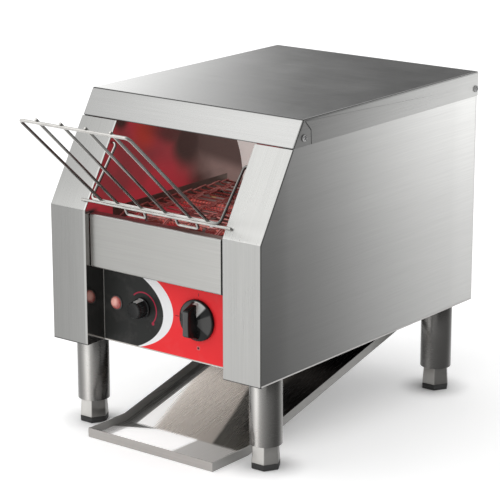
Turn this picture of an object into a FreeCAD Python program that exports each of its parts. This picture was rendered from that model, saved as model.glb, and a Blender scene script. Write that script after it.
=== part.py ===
"""Conveyor toaster with a sloped feed window, a wire belt and a toast chute under the body.

Lengths are millimetres. The pieces are drawn with X to the right, Y to the back from the front face of
the body and Z up from the floor, and are then carried to the middle of the toaster's own footprint.
"""

import FreeCAD
import Part
import math
import os

V = FreeCAD.Vector

# Body
body_w = 290.0
body_d = 410.0
body_top = 374.0
leg_h = 102.0
bend_share = 0.5625
slope_run = 72.0
sheet = 1.2
bend_r = 3.0
seam = 0.3
overrun = 5.0
fit = 0.05
round_sides = 24
hole_sides = 12
wire_sides = 8
hex_sides = 6
bend_steps = 3

# Cover
header_drop = 28.3
cover_edge_r = 2.2
tab_back = 85.5
tab_shoulder_drop = 13.0
tab_tip_back = 75.0
tab_tip_drop = 3.0
tab_slot = 0.8
screw_front_y = 73.0
screw_back_in = 7.0
screw_drop = 19.5
screw_head_r = 4.0
screw_head_h = 2.2
screw_shank_r = 2.0
screw_shank_l = 9.0
screw_crown_share = 0.5

# Side panels and base
flange = 12.0
base_t = 1.5
lip_h = 16.0

# Front: pillars, grey front panel, recessed control panel
pillar_w = 50.0
front_recess = 7.0
front_h = 60.5
front_drop = 4.0
front_return = 12.0
front_gap = 0.8
control_y = 28.4
control_lap = 6.5
control_flange = 12.0
header_gap = 0.6
overlay_t = 0.4
overlay_margin = 1.0

# Toasting chamber
liner = 1.0
floor_lap = 1.0
floor_back = 246.0
ceiling_drop = 22.0
ceiling_front = 63.0
ceiling_back = 172.0
ceiling_lip = 6.0
deflector_lap = 20.0
deflector_r = 115.0
deflector_y = 280.0
drop_rim = 2.0

# Wire belt, its shafts and its rails
belt_pitch = 12.7
belt_teeth = 8
belt_spans = 14
belt_side_room = 15.0
belt_wire = 2.0
belt_drop = 6.0
belt_hook_t = 1.2
belt_hook_w = 2.0
belt_hook_gap = 0.45
belt_hook_share = 0.7
belt_hook_shift = 4.0
belt_front_y = 46.0
shaft_r = 4.0
shaft_end = 4.0
sprocket_w = 4.0
sprocket_x_share = 0.5
sprocket_hub_r = 9.0
sprocket_hub_w = 6.0
sprocket_seat_gap = 0.5
tooth_high = 1.6
tooth_foot = 7.6
tooth_tip = 3.6
bush_r = 7.0
bush_l = 6.5
bush_flange_r = 9.5
bush_inside = 1.5
rail_in = 11.0
rail_below = 10.0
rail_above = 5.0
rail_over = 10.0

# Drive
motor_r = 28.0
motor_can_r = 24.0
gearbox_l = 12.0
motor_l = 27.5
motor_out = 16.5
motor_boss_r = 8.0
coupling_r = 8.0
coupling_l = 9.5
bracket_t = 1.2
bracket_h = 64.0
bracket_w = 50.0
bracket_foot = 12.0

# Heaters
tube_r = 5.0
tube_room = 0.5
tube_sides = 16
upper_drop = 35.0
upper_y = (100.0, 144.0, 188.0)
lower_y = (95.0, 170.0)
cap_half = 8.0
cap_l = 12.0
cap_bore = 8.0

# Controls
switch_x_share = 0.41
switch_above = 0.5
switch_side = 38.0
switch_deep = 34.0
control_bush_r = 5.0
spindle_r = 3.0
spindle_in = 6.0
knob_gap = 0.6
knob_r = 23.0
knob_sides = 32
knob_skirt_h = 7.0
knob_grip_h = 21.0
knob_grip_w = 10.0
knob_grip_share = 0.93
knob_tip_share = 0.62
knob_edge = 1.5
knob_bore_l = 12.0
speed_x_share = -0.4105
speed_above = -0.5
speed_body_r = 12.0
speed_body_l = 12.0
speed_knob_r = 11.5
speed_knob_tip_r = 10.0
speed_knob_h = 15.0
flute_count = 12
flute_share = 0.07
lamp_x_share = -0.8
lamp_above = -1.2
lamp_r = 7.0
lamp_rim = 1.2
lamp_rim_h = 1.5
lamp_dome = 3.0
lamp_dome_shares = ((0.45, 0.87), (0.85, 0.5), (1.0, 0.2))
lamp_body_r = 5.5
lamp_body_l = 24.0
terminal_l = 48.0
terminal_w = 20.0
terminal_h = 18.0
terminal_ways = 6
terminal_way_share = 0.66
terminal_deep_share = 0.5
terminal_y = 200.0
gland_in = 27.0
gland_z = 130.0
gland_r = 10.0
gland_bore_r = 4.0
gland_nut_r = 13.5
gland_nut_h = 5.0
gland_cap_h = 14.0
gland_dome_shares = ((0.5, 1.0), (1.0, 0.67))
slot_l = 40.0
slot_h = 4.0
slot_step = 10.0
slot_rows = 5
slot_low = 125.0
slot_x_share = 0.33

# Legs and levelling feet
leg_side_in = 23.0
leg_front_y = 38.6
leg_back_in = 42.5
leg_r = 18.0
leg_wall = 1.5
leg_low = 27.0
leg_disc = 3.0
plug_l = 18.0
plug_in = 1.0
bolt_r = 4.0
bolt_head_r = 7.5
bolt_head_h = 5.5
bolt_below = 8.0
hex_low_flat = 29.0
hex_top_flat = 26.6
foot_gap = 0.3
stud_r = 5.0
stud_up = 40.0
pad_h = 6.5

# Feed rack, bent and welded from round wire
wire_r = 1.75
thin_wire_r = 1.6
rod_r = 1.6
pin_share = 0.586
pin_deep = 5.0
pin_past = 6.5
rack_arm_in = 6.5
rack_rod_along = 13.8
rack_rod_out = 3.6
rack_top_y = -119.0
rack_top_z = 377.9
rack_side_in = 22.5
rack_bend = 5.0
weld_sink = 0.4
rack_wire_shares = (-0.69, -0.23, 0.23, 0.69)
rack_tip = 5.0
cross_past = 8.3
staple_shares = ((-0.566, -0.2), (0.4, 0.786))
staple_back = 4.0
staple_drop = 8.2
staple_bend = 3.0

# Toast chute and what carries it
chute_side_in = 7.0
chute_front = -10.0
chute_bend_y = 52.0
chute_back_in = 5.0
chute_rise = 87.4
chute_flange = 10.5
chute_bar_in = 17.0
chute_bar_r = 3.0
chute_bar_gap = 0.3
chute_bracket_t = 2.0
chute_bracket_gap = 6.0
chute_bracket_w = 16.0
chute_bracket_low = 5.0

# Worked out from the sizes above
half_w = body_w / 2
bend_z = leg_h + bend_share * (body_top - leg_h)
header_low = body_top - header_drop
tab_shoulder = body_top - tab_shoulder_drop
tab_tip_z = body_top - tab_tip_drop
screw_z = body_top - screw_drop
screw_back_y = body_d - screw_back_in
slope_rise = body_top - bend_z
slope_len = math.hypot(slope_run, slope_rise)
slope_dir = (slope_run / slope_len, slope_rise / slope_len)
slope_in = (slope_rise / slope_len, -slope_run / slope_len)
side_out = half_w - sheet - seam
rear_out = body_d - sheet - seam
pillar_in = half_w - pillar_w
wall_in = pillar_in + sheet + seam
wall_out = wall_in + liner
front_top = bend_z - front_drop
front_low = front_top - front_h
control_top = front_low + control_lap
control_mid = (leg_h + control_top) / 2
floor_z = control_top + floor_lap
ceiling_z = body_top - ceiling_drop
upper_z = body_top - upper_drop
belt_top = bend_z - belt_drop
belt_w = 2 * (pillar_in - belt_side_room)
rail_x = pillar_in - rail_in
rail_low = belt_top - rail_below
rail_high = belt_top + rail_above
motor_face_x = wall_out + motor_out
switch_x = switch_x_share * pillar_in
switch_z = control_mid + switch_above
speed_x = speed_x_share * pillar_in
speed_z = control_mid + speed_above
lamp_x = lamp_x_share * pillar_in
lamp_z = control_mid + lamp_above
gland_x = half_w - gland_in
leg_x = half_w - leg_side_in
leg_back_y = body_d - leg_back_in
chute_half = pillar_in - chute_side_in
chute_back = body_d - chute_back_in
chute_bar_y = body_d - chute_bar_in
base_top = leg_h + base_t
pitch_r = belt_pitch / (2 * math.sin(math.pi / belt_teeth))
belt_span = belt_spans * belt_pitch
belt_back_y = belt_front_y + belt_span
axle_z = belt_top - belt_wire / 2 - pitch_r
lower_z = axle_z
notch_y = control_y + sheet
recess_back = notch_y + control_flange
gland_back = rear_out + gland_nut_h + gland_cap_h


def on_slope(along, deep=0.0):
    """A (y, z) point on the sloped front, along it from the bend and deep behind its outer face."""
    return (
        along * slope_dir[0] + deep * slope_in[0],
        bend_z + along * slope_dir[1] + deep * slope_in[1],
    )


def slope_y(z, deep=0.0):
    """How far back the sloped front lies at a height, deep behind its outer face."""
    return (z - bend_z) * slope_run / slope_rise + deep * slope_len / slope_rise


def bend_point(deep):
    """The corner between the upright front and the slope, deep behind the outer face."""
    turn = math.atan2(slope_run, slope_rise)
    return (deep, bend_z - deep * math.tan(turn / 2))


pin_yz = on_slope(pin_share * slope_len, pin_deep)
pin_out = wall_out + pin_past
rack_arm_x = pillar_in - rack_arm_in
rack_half_w = pillar_in - rack_side_in
rack_wire_x = [share * rack_half_w for share in rack_wire_shares]
staple_x = [[share * rack_half_w for share in ends] for ends in staple_shares]
cross_half = pillar_in + cross_past
cross_out = rod_r + seam
cross_drop = math.sqrt((wire_r + rod_r - weld_sink) ** 2 - (rack_rod_out - cross_out) ** 2)
cross_yz = on_slope(rack_rod_along - cross_drop, -cross_out)
rack_rod_y, rack_rod_z = on_slope(rack_rod_along, -rack_rod_out)
rack_dir = (rack_top_y - rack_rod_y, rack_top_z - rack_rod_z)
rack_len = math.hypot(rack_dir[0], rack_dir[1])
rack_dir = (rack_dir[0] / rack_len, rack_dir[1] / rack_len)
rack_up = (rack_dir[1], -rack_dir[0])
rack_tip_y = (
    rack_top_y + rack_tip * rack_dir[0] + (wire_r + thin_wire_r) * rack_up[0]
)
front_reach = min(rack_top_y - wire_r, rack_tip_y - thin_wire_r * rack_up[0])
footprint_y = (front_reach + gland_back) / 2


def corner(a, b, c, r):
    """The arc that rounds corner b between a and c, as its start, middle and end."""
    u = (a - b).normalize()
    w = (c - b).normalize()
    half = u.getAngle(w) / 2
    middle = (u + w).normalize()
    start = b + u * (r / math.tan(half))
    end = b + w * (r / math.tan(half))
    centre = b + middle * (r / math.sin(half))
    return start, centre - middle * r, end


def rounded_path(points, radii, closed):
    """A wire through the points, with each corner rounded by its own radius."""
    count = len(points)
    edges = []
    ends = []
    for i, point in enumerate(points):
        if radii[i] > 0 and (closed or 0 < i < count - 1):
            ends.append(corner(points[i - 1], point, points[(i + 1) % count], radii[i]))
        else:
            ends.append((point, None, point))
    for i in range(count if closed else count - 1):
        here, there = ends[i], ends[(i + 1) % count]
        if here[1] is not None and (closed or i > 0):
            edges.append(Part.Arc(here[0], here[1], here[2]).toShape())
        edges.append(Part.makeLine(here[2], there[0]))
    return Part.Wire(edges)


def prism(points, axis, low, high, radii=None):
    """A plate of the outline between two places on its axis; the points are its other two coordinates."""
    place = {
        "x": lambda p: V(low, p[0], p[1]),
        "y": lambda p: V(p[0], low, p[1]),
        "z": lambda p: V(p[0], p[1], low),
    }[axis]
    run = {"x": V(high - low, 0, 0), "y": V(0, high - low, 0), "z": V(0, 0, high - low)}
    corners = [place(p) for p in points]
    wire = rounded_path(corners, radii or [0] * len(corners), True)
    return Part.Face(wire).extrude(run[axis])


def box(x0, x1, y0, y1, z0, z1):
    """A block between two corners."""
    return Part.makeBox(x1 - x0, y1 - y0, z1 - z0, V(x0, y0, z0))


def ring(centre, axis, r, sides):
    """Corners of a regular polygon about an axis."""
    side = V(0, 0, 1) if abs(axis.z) < abs(axis.x) + abs(axis.y) else V(1, 0, 0)
    side = (side - axis * side.dot(axis)).normalize()
    across = axis.cross(side)
    turn = 2 * math.pi / sides
    return [
        centre + side * (r * math.cos(k * turn)) + across * (r * math.sin(k * turn))
        for k in range(sides)
    ]


def polygon(corners):
    """A closed line through the corners."""
    return Part.makePolygon(corners + corners[:1])


def skinned(faces):
    """A solid from the faces that close it."""
    shell = Part.makeShell(faces)
    shell.sewShape()
    solid = Part.makeSolid(shell)
    return solid if solid.Volume > 0 else solid.reversed()


def sleeve(first, second):
    """The flat faces between two rings of corners."""
    count = len(first)
    faces = []
    for k in range(count):
        n = (k + 1) % count
        faces.append(Part.Face(polygon([first[k], first[n], second[n], second[k]])))
    return faces


def rod(start, end, r, sides=0):
    """A bar between two points, round or with flat sides inside the same radius."""
    run = V(*end) - V(*start)
    if not sides:
        return Part.makeCylinder(r, run.Length, V(*start), run)
    face = Part.Face(polygon(ring(V(*start), V(*run).normalize(), r, sides)))
    return face.extrude(run)


def broad_rod(start, end, r, sides=hole_sides):
    """A bar with flat sides outside the given radius: for holes, and for what fills them."""
    return rod(start, end, r / math.cos(math.pi / sides), sides)


def folded(points, thick, radius=0.0):
    """The outline of a bent sheet: a line of points, its thickness to the left, and bend radii."""
    inner = []
    outer_r = []
    inner_r = []
    for i, (u, v) in enumerate(points):
        near = points[max(i - 1, 0) : i + 2]
        turns = []
        for a, b in zip(near, near[1:]):
            size = math.hypot(b[0] - a[0], b[1] - a[1])
            turns.append(((b[0] - a[0]) / size, (b[1] - a[1]) / size))
        first, second = turns[0], turns[-1]
        n1, n2 = (-first[1], first[0]), (-second[1], second[0])
        along = 1 + n1[0] * n2[0] + n1[1] * n2[1]
        inner.append(
            (u + thick * (n1[0] + n2[0]) / along, v + thick * (n1[1] + n2[1]) / along)
        )
        left = (first[0] * second[1] - first[1] * second[0]) * thick
        wide, tight = abs(thick) + radius, radius
        bent = radius > 0 and len(turns) == 2
        outer_r.append((wide if left > 0 else tight) if bent else 0)
        inner_r.append((tight if left > 0 else wide) if bent else 0)
    return points + inner[::-1], outer_r + inner_r[::-1]


def folded_sheet(points, axis, low, high, thick, radius=0.0):
    """A bent sheet of one width."""
    outline, radii = folded(points, thick, radius)
    return prism(outline, axis, low, high, radii)


def bend_points(points, bend):
    """The path's points, with each inner corner parted into short straight steps round its bend."""
    corners = [V(*p) for p in points]
    path = corners[:1]
    for a, b, c in zip(corners, corners[1:], corners[2:]):
        begin, middle, end = corner(a, b, c, bend)
        arc = Part.Arc(begin, middle, end)
        first, last = arc.FirstParameter, arc.LastParameter
        for k in range(bend_steps + 1):
            path.append(arc.value(first + (last - first) * k / bend_steps))
    return path + corners[-1:]


def bent_wire(points, r, bend):
    """Wire of few sides, bent at its inner points."""
    path = bend_points(points, bend)
    runs = [(b - a).normalize() for a, b in zip(path, path[1:])]
    rings = [ring(path[0], runs[0], r, wire_sides)]
    for k, place in enumerate(path[1:]):
        run = runs[k]
        mitre = run + runs[k + 1] if k + 1 < len(runs) else run
        rings.append(
            [p + run * ((place - p).dot(mitre) / run.dot(mitre)) for p in rings[-1]]
        )
    faces = [Part.Face(polygon(rings[0])), Part.Face(polygon(rings[-1]))]
    for first, second in zip(rings, rings[1:]):
        faces += sleeve(first, second)
    return skinned(faces)


def turned(outline, start, direction, sides=0):
    """A turned solid: (along, radius) points about a line through start, round or with flat sides."""
    axis = V(*direction)
    if not sides:
        side = V(0, 0, 1) if abs(axis.z) < abs(axis.x) + abs(axis.y) else V(1, 0, 0)
        corners = [V(*start) + axis * a + side * r for a, r in outline]
        return Part.Face(polygon(corners)).revolve(V(*start), axis, 360)
    faces = []
    for (a1, r1), (a2, r2) in zip(outline, outline[1:] + outline[:1]):
        if r1 == 0 and r2 == 0:
            continue
        first, second = (
            ring(V(*start) + axis * a, axis, r, sides) for a, r in ((a1, r1), (a2, r2))
        )
        if a1 != a2:
            faces += sleeve(first, second)
        elif r1 == 0 or r2 == 0:
            faces.append(Part.Face(polygon(second if r1 == 0 else first)))
        else:
            rims = [polygon(first), polygon(second)]
            faces.append(Part.Face(rims if r1 > r2 else rims[::-1]))
    return skinned(faces)


def hexagon(flat, x, y, z):
    """The corners of a level hexagon, given across its flats."""
    return ring(V(x, y, z), V(0, 0, 1), flat / math.sqrt(3), hex_sides)


def mirrored(shape):
    """The same piece on the other side."""
    return shape.mirror(V(0, 0, 0), V(1, 0, 0))


def both_sides(shape):
    return [shape, mirrored(shape)]


def cut_all(shape, tools):
    return shape.cut(Part.makeCompound(tools)) if tools else shape


def fuse_all(shapes):
    return shapes[0].multiFuse(shapes[1:]).removeSplitter()


def leg_places():
    return [(x, y) for y in (leg_front_y, leg_back_y) for x in (-leg_x, leg_x)]


# Casing


def base_chassis():
    """Floor of the body: two side rails, a front tray behind the control recess and a rear tray."""
    back = rear_out - sheet
    rail = box(wall_in, side_out, sheet + seam, back, leg_h, base_top)
    holes = [
        broad_rod((x, y, leg_h - overrun), (x, y, base_top + overrun), bolt_r + seam)
        for x, y in leg_places()
    ]
    rails = [cut_all(rail, holes), cut_all(mirrored(rail), holes)]
    half = [
        (pillar_in - seam, notch_y),
        (pillar_in - seam, recess_back + seam),
        (wall_in, recess_back + seam),
        (wall_in, floor_back + drop_rim),
    ]
    plate = prism(half + [(-x, y) for x, y in reversed(half)], "z", leg_h, base_top)
    reach = pillar_in - control_flange
    lip = box(-reach, reach, notch_y, notch_y + base_t, leg_h, leg_h + lip_h)
    drop_back = deflector_y - liner - drop_rim
    rear = box(-wall_in, wall_in, drop_back, back, leg_h, base_top)
    return rails + [fuse_all([plate, lip]), rear]


def side_profile(deep, top, back, low):
    """The side of the body, seen from the right, a given depth behind its front faces."""
    return [
        (deep, low),
        bend_point(deep),
        (slope_y(top, deep), top),
        (back, top),
        (back, low),
    ]


def right_side_panel():
    """Side sheet with a flange turned in all round."""
    deep = sheet + seam
    top = body_top - sheet - seam
    back = rear_out - sheet
    pan = prism(side_profile(deep, top, back, base_top), "x", side_out - flange, side_out)
    hollow = prism(
        side_profile(deep + sheet, top - sheet, back - sheet, base_top + sheet),
        "x",
        side_out - flange - overrun,
        side_out - sheet,
    )
    holes = [
        broad_rod((side_out - flange, y, screw_z), (half_w, y, screw_z), screw_shank_r, wire_sides)
        for y in (screw_front_y, screw_back_y)
    ]
    return cut_all(pan, [hollow] + holes)


def right_pillar():
    """Front pillar: upright face, sloped face beside the window and a deep return into the recess."""
    end = (header_low - bend_z) / slope_dir[1] - header_gap
    face = folded_sheet(
        [on_slope(end), (0, bend_z), (0, leg_h)], "x", pillar_in, half_w, sheet, bend_r
    )
    side = [
        (0, leg_h),
        (recess_back, leg_h),
        (recess_back, control_top),
        (front_recess + sheet, control_top),
        (front_recess + sheet, front_top),
        (0, front_top),
    ]
    return fuse_all([face, prism(side, "x", pillar_in, pillar_in + sheet)])


def cover_tab_slot():
    """The slot that parts the header's side tab from the cover's side flange."""
    line = [
        (tab_tip_back, tab_tip_z),
        (tab_back - (tab_shoulder - header_low) * tab_slot / lip_h, tab_shoulder),
        (tab_back, header_low - overrun),
    ]
    slot = folded_sheet(line, "x", half_w - sheet - seam, half_w + overrun, tab_slot)
    return both_sides(slot)


def top_cover():
    """One folded sheet: top, sloped header, header tabs, side flanges and rear flange."""
    outer = [
        (slope_y(header_low), header_low),
        (slope_run, body_top),
        (body_d, body_top),
        (body_d, header_low),
    ]
    block = prism(outer, "x", -half_w, half_w)
    rims = [
        e
        for e in block.Edges
        if abs(e.BoundBox.XLength) < seam
        and e.BoundBox.ZMax > body_top - seam
        or e.BoundBox.XLength > body_w - seam
        and e.BoundBox.ZMin > body_top - seam
    ]
    block = block.makeFillet(cover_edge_r, rims)
    low = header_low - overrun
    inner = [
        (slope_y(low, sheet), low),
        (slope_y(body_top - sheet, sheet), body_top - sheet),
        (body_d - sheet, body_top - sheet),
        (body_d - sheet, low),
    ]
    hollow = prism(inner, "x", -half_w + sheet, half_w - sheet)
    holes = [
        broad_rod(
            (-half_w - overrun, y, screw_z), (half_w + overrun, y, screw_z), screw_shank_r, wire_sides
        )
        for y in (screw_front_y, screw_back_y)
    ]
    return cut_all(block, [hollow] + holes + cover_tab_slot())


def cover_screws():
    """Pan-head screws through the cover's tabs and flanges into the side panels."""
    head = [
        (0, 0),
        (0, screw_head_r),
        (screw_head_h * screw_crown_share, screw_head_r),
        (screw_head_h, screw_head_r * screw_crown_share),
        (screw_head_h, 0),
    ]
    right = []
    for y in (screw_front_y, screw_back_y):
        start = (half_w - screw_shank_l, y, screw_z)
        shank = broad_rod(start, (half_w, y, screw_z), screw_shank_r - fit, wire_sides)
        crown = turned(head, (half_w, y, screw_z), (1, 0, 0), hole_sides)
        right.append(fuse_all([crown, shank]))
    return right + [mirrored(s) for s in right]


def front_panel():
    """Plain front sheet under the window, turned back at its top and round into the recess."""
    half = pillar_in - front_gap
    line = [
        (front_recess + front_return, front_top),
        (front_recess, front_top),
        (front_recess, front_low),
        (control_y, front_low),
        (control_y, control_top),
    ]
    return folded_sheet(line, "x", -half, half, sheet, sheet)


def control_holes(low, high):
    """Holes through the control panel for the two bushes and the lamp."""
    places = (
        (switch_x, switch_z, control_bush_r),
        (speed_x, speed_z, control_bush_r),
        (lamp_x, lamp_z, lamp_body_r),
    )
    return [broad_rod((x, low, z), (x, high, z), r + fit) for x, z, r in places]


def control_panel():
    """Recessed panel that carries the switch, the speed control and the lamp."""
    half = pillar_in
    face = box(-half, half, control_y, control_y + sheet, leg_h, control_top)
    ends = both_sides(
        box(
            half - sheet,
            half,
            control_y,
            control_y + sheet + control_flange,
            leg_h + lip_h + seam,
            control_top,
        )
    )
    shape = fuse_all([face] + ends)
    return cut_all(shape, control_holes(control_y - overrun, control_y + overrun))


def control_overlay():
    """Thin printed film on the control panel."""
    half = pillar_in - front_gap
    film = box(
        -half,
        half,
        control_y - overlay_t,
        control_y,
        leg_h + overlay_margin,
        front_low - overlay_margin,
    )
    return cut_all(film, control_holes(control_y - overrun, control_y + overrun))


def rear_panel():
    """Back sheet with air slots for the lower compartment and the hole of the cable gland."""
    plate = box(-side_out, side_out, rear_out - sheet, rear_out, leg_h, body_top - sheet - seam)
    slots = []
    for side in (-1, 1):
        middle = side * side_out * slot_x_share
        for row in range(slot_rows):
            z = slot_low + row * slot_step
            slots.append(
                box(
                    middle - slot_l / 2,
                    middle + slot_l / 2,
                    rear_out - overrun,
                    rear_out + overrun,
                    z,
                    z + slot_h,
                )
            )
    start = (gland_x, rear_out - overrun, gland_z)
    slots.append(broad_rod(start, (gland_x, rear_out + overrun, gland_z), gland_r + fit))
    return cut_all(plate, slots)


# Toasting chamber


def wall_holes(x0, x1):
    """Holes in a chamber wall for the shafts' bushes, the heater tubes and the rack's pin."""
    places = [(y, axle_z, bush_r + fit, hole_sides) for y in (belt_front_y, belt_back_y)]
    places += [(y, upper_z, tube_r + tube_room, wire_sides) for y in upper_y]
    places += [(y, lower_z, tube_r + tube_room, wire_sides) for y in lower_y]
    places.append((*pin_yz, wire_r + fit, hole_sides))
    return [broad_rod((x0, y, z), (x1, y, z), r, sides) for y, z, r, sides in places]


def right_chamber_wall():
    """Inner side wall, deeper at the back where the toast falls."""
    deep = sheet + seam
    outline = [
        (deep, floor_z),
        bend_point(deep),
        (slope_y(ceiling_z, deep), ceiling_z),
        (deflector_y, ceiling_z),
        (deflector_y, base_top),
        (floor_back - liner, base_top),
        (floor_back - liner, floor_z),
    ]
    plate = prism(outline, "x", wall_in, wall_out)
    foot = box(
        wall_out,
        wall_out + flange,
        floor_back,
        deflector_y - flange,
        base_top,
        base_top + liner,
    )
    return cut_all(fuse_all([plate, foot]), wall_holes(wall_in - overrun, wall_out + overrun))


def chamber_floor():
    """Heat shield under the belt, turned up behind the front panel and down at the back."""
    start = front_recess + sheet
    line = [
        (start, floor_z + flange),
        (start, floor_z),
        (floor_back, floor_z),
        (floor_back, base_top),
    ]
    shield = folded_sheet(line, "x", -wall_in, wall_in, liner, 0.0)
    clear = pillar_in - front_gap
    trims = both_sides(
        box(clear, wall_in, start - overrun, start + liner, floor_z + liner, floor_z + overrun + flange)
    )
    return cut_all(shield, trims)


def chamber_ceiling():
    """Reflector above the belt, with a short lip turned down behind the header."""
    line = [
        (ceiling_back, ceiling_z + liner),
        (ceiling_front, ceiling_z + liner),
        (ceiling_front, ceiling_z - ceiling_lip),
    ]
    clear = wall_in - seam
    plate = folded_sheet(line, "x", -wall_out, wall_out, liner, 0.0)
    near, far = ceiling_front - overrun, ceiling_front + overrun
    trims = both_sides(box(clear, wall_out, near, far, header_low - overrun, ceiling_z))
    return cut_all(plate, trims)


def rear_deflector():
    """Curved back of the chamber that turns the toast down to the chute."""
    line = [
        (deflector_y, base_top),
        (deflector_y, ceiling_z),
        (ceiling_back - deflector_lap, ceiling_z),
    ]
    return folded_sheet(line, "x", -wall_in, wall_in, liner, deflector_r - liner)


# Belt and its shafts


def belt_stations():
    """Each strand's place on the loop: its (y, z) and the way to the next strand."""
    places = []
    for k in range(belt_spans):
        places.append((belt_front_y + k * belt_pitch, axle_z + pitch_r))
    turn = 2 * math.pi / belt_teeth
    for k in range(belt_teeth // 2):
        angle = math.pi / 2 - k * turn
        places.append((belt_back_y + pitch_r * math.cos(angle), axle_z + pitch_r * math.sin(angle)))
    for k in range(belt_spans):
        places.append((belt_back_y - k * belt_pitch, axle_z - pitch_r))
    for k in range(belt_teeth // 2):
        angle = -math.pi / 2 - k * turn
        places.append((belt_front_y + pitch_r * math.cos(angle), axle_z + pitch_r * math.sin(angle)))
    return places


def belt_strand(shift):
    """One strand: a straight square wire with two hooks that reach over the next strand."""
    half = belt_wire / 2
    wire = box(-belt_w / 2, belt_w / 2, -half, half, -half, half)
    under = half + belt_hook_gap
    over = under + belt_hook_t
    far = belt_pitch + under
    profile = [
        (-half, -half),
        (half, -half),
        (half, under),
        (far, under),
        (far, -half),
        (far + belt_hook_t, -half),
        (far + belt_hook_t, over),
        (-half, over),
    ]
    reach = belt_hook_share * belt_w / 2
    hooks = []
    for x in (-reach, reach):
        low = x + shift - belt_hook_w / 2
        hooks.append(prism(profile, "x", low, low + belt_hook_w))
    return fuse_all([wire] + hooks)


def conveyor_belt():
    """Open wire belt: alternate strands hook over each other side by side, all round the loop."""
    kinds = [belt_strand(-belt_hook_shift / 2), belt_strand(belt_hook_shift / 2)]
    places = belt_stations()
    strands = []
    for i, (y, z) in enumerate(places):
        after = places[(i + 1) % len(places)]
        angle = math.degrees(math.atan2(after[1] - z, after[0] - y))
        strand = kinds[i % 2].copy()
        strand.Placement = FreeCAD.Placement(V(0, y, z), FreeCAD.Rotation(V(1, 0, 0), angle))
        strands.append(strand)
    return strands


def sprocket(x):
    """Toothed wheel whose teeth stand between the belt's strands."""
    root = pitch_r - belt_wire / 2 - sprocket_seat_gap
    tip = pitch_r + tooth_high
    rim = []
    for k in range(belt_teeth):
        middle = (k + 0.5) * 2 * math.pi / belt_teeth
        for width, r in ((tooth_foot, root), (tooth_tip, tip)):
            rim.append((r, middle - math.asin(width / 2 / r)))
        for width, r in ((tooth_tip, tip), (tooth_foot, root)):
            rim.append((r, middle + math.asin(width / 2 / r)))
    points = [(r * math.cos(a), axle_z + r * math.sin(a)) for r, a in rim]
    wheel = prism(points, "x", x - sprocket_w / 2, x + sprocket_w / 2)
    end = x + math.copysign(sprocket_w / 2 + sprocket_hub_w, x)
    hub = rod((x, 0, axle_z), (end, 0, axle_z), sprocket_hub_r, hole_sides)
    far = sprocket_hub_w + overrun
    bore = broad_rod((x - far, 0, axle_z), (x + far, 0, axle_z), shaft_r + fit)
    return fuse_all([wheel, hub]).cut(bore)


def sprockets(y):
    x = sprocket_x_share * belt_w / 2
    pair = [sprocket(-x), sprocket(x)]
    for wheel in pair:
        wheel.translate(V(0, y, 0))
    return pair


def drive_shaft():
    end = wall_out + bush_l + coupling_l / 2
    return rod((-wall_out - bush_l - shaft_end, belt_back_y, axle_z), (end, belt_back_y, axle_z), shaft_r)


def idler_shaft():
    end = wall_out + bush_l + shaft_end
    return rod((-end, belt_front_y, axle_z), (end, belt_front_y, axle_z), shaft_r)


def shaft_bushes():
    """Flanged bushes in the chamber walls, bored for the shafts."""
    outline = [
        (-liner - bush_inside, shaft_r + fit),
        (-liner - bush_inside, bush_r),
        (0, bush_r),
        (0, bush_flange_r),
        (bush_l - seam, bush_flange_r),
        (bush_l - seam, shaft_r + fit),
    ]
    grown = 1 / math.cos(math.pi / hole_sides)
    outline = [(a, r * grown) for a, r in outline]
    right = [
        turned(outline, (wall_out, y, axle_z), (1, 0, 0), hole_sides)
        for y in (belt_front_y, belt_back_y)
    ]
    return right + [mirrored(b) for b in right]


def belt_rails():
    """Side rails that keep the bread on the belt, fixed to the chamber walls."""
    line = [(wall_in, rail_low), (rail_x, rail_low), (rail_x, rail_high)]
    low = belt_front_y - pitch_r + rail_over / 2
    high = belt_back_y + rail_over
    return both_sides(folded_sheet(line, "y", low, high, -sheet))


# Drive


def shaft_coupling():
    """Sleeve that joins the drive shaft's end to the motor's."""
    x = wall_out + bush_l
    start, end = (x, belt_back_y, axle_z), (x + coupling_l, belt_back_y, axle_z)
    far = (x + coupling_l + overrun, belt_back_y, axle_z)
    before = (x - overrun, belt_back_y, axle_z)
    return rod(start, end, coupling_r, hole_sides).cut(broad_rod(before, far, shaft_r + fit))


def motor_shaft():
    x = wall_out + bush_l + coupling_l / 2 + seam
    end = motor_face_x + gearbox_l / 2
    return rod((x, belt_back_y, axle_z), (end, belt_back_y, axle_z), shaft_r, hole_sides)


def gear_motor():
    """Flat geared motor: gearbox with a boss, and the motor can behind it."""
    y, z, x = belt_back_y, axle_z, motor_face_x + bracket_t
    behind = (x + gearbox_l, y, z)
    gearbox = rod((x, y, z), behind, motor_r, round_sides)
    can = rod(behind, (motor_face_x + motor_l, y, z), motor_can_r, round_sides)
    boss = broad_rod((motor_face_x, y, z), (x, y, z), motor_boss_r)
    bore_end = (motor_face_x + gearbox_l / 2 + seam, y, z)
    bore = broad_rod((motor_face_x - overrun, y, z), bore_end, shaft_r + fit)
    return fuse_all([gearbox, can, boss]).cut(bore)


def motor_bracket():
    """Hat-shaped bracket from the chamber wall to the gearbox's face."""
    x, face = wall_out, motor_face_x
    low, high = axle_z - bracket_h / 2, axle_z + bracket_h / 2
    line = [
        (x, high + bracket_foot),
        (x, high),
        (face, high),
        (face, low),
        (x, low),
        (x, low - bracket_foot),
    ]
    near, far = belt_back_y - bracket_w / 2, belt_back_y + bracket_w / 2
    hat = folded_sheet(line, "y", near, far, bracket_t)
    before, behind = (face - overrun, belt_back_y, axle_z), (face + overrun, belt_back_y, axle_z)
    return hat.cut(broad_rod(before, behind, motor_boss_r + fit))


# Heaters


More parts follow.
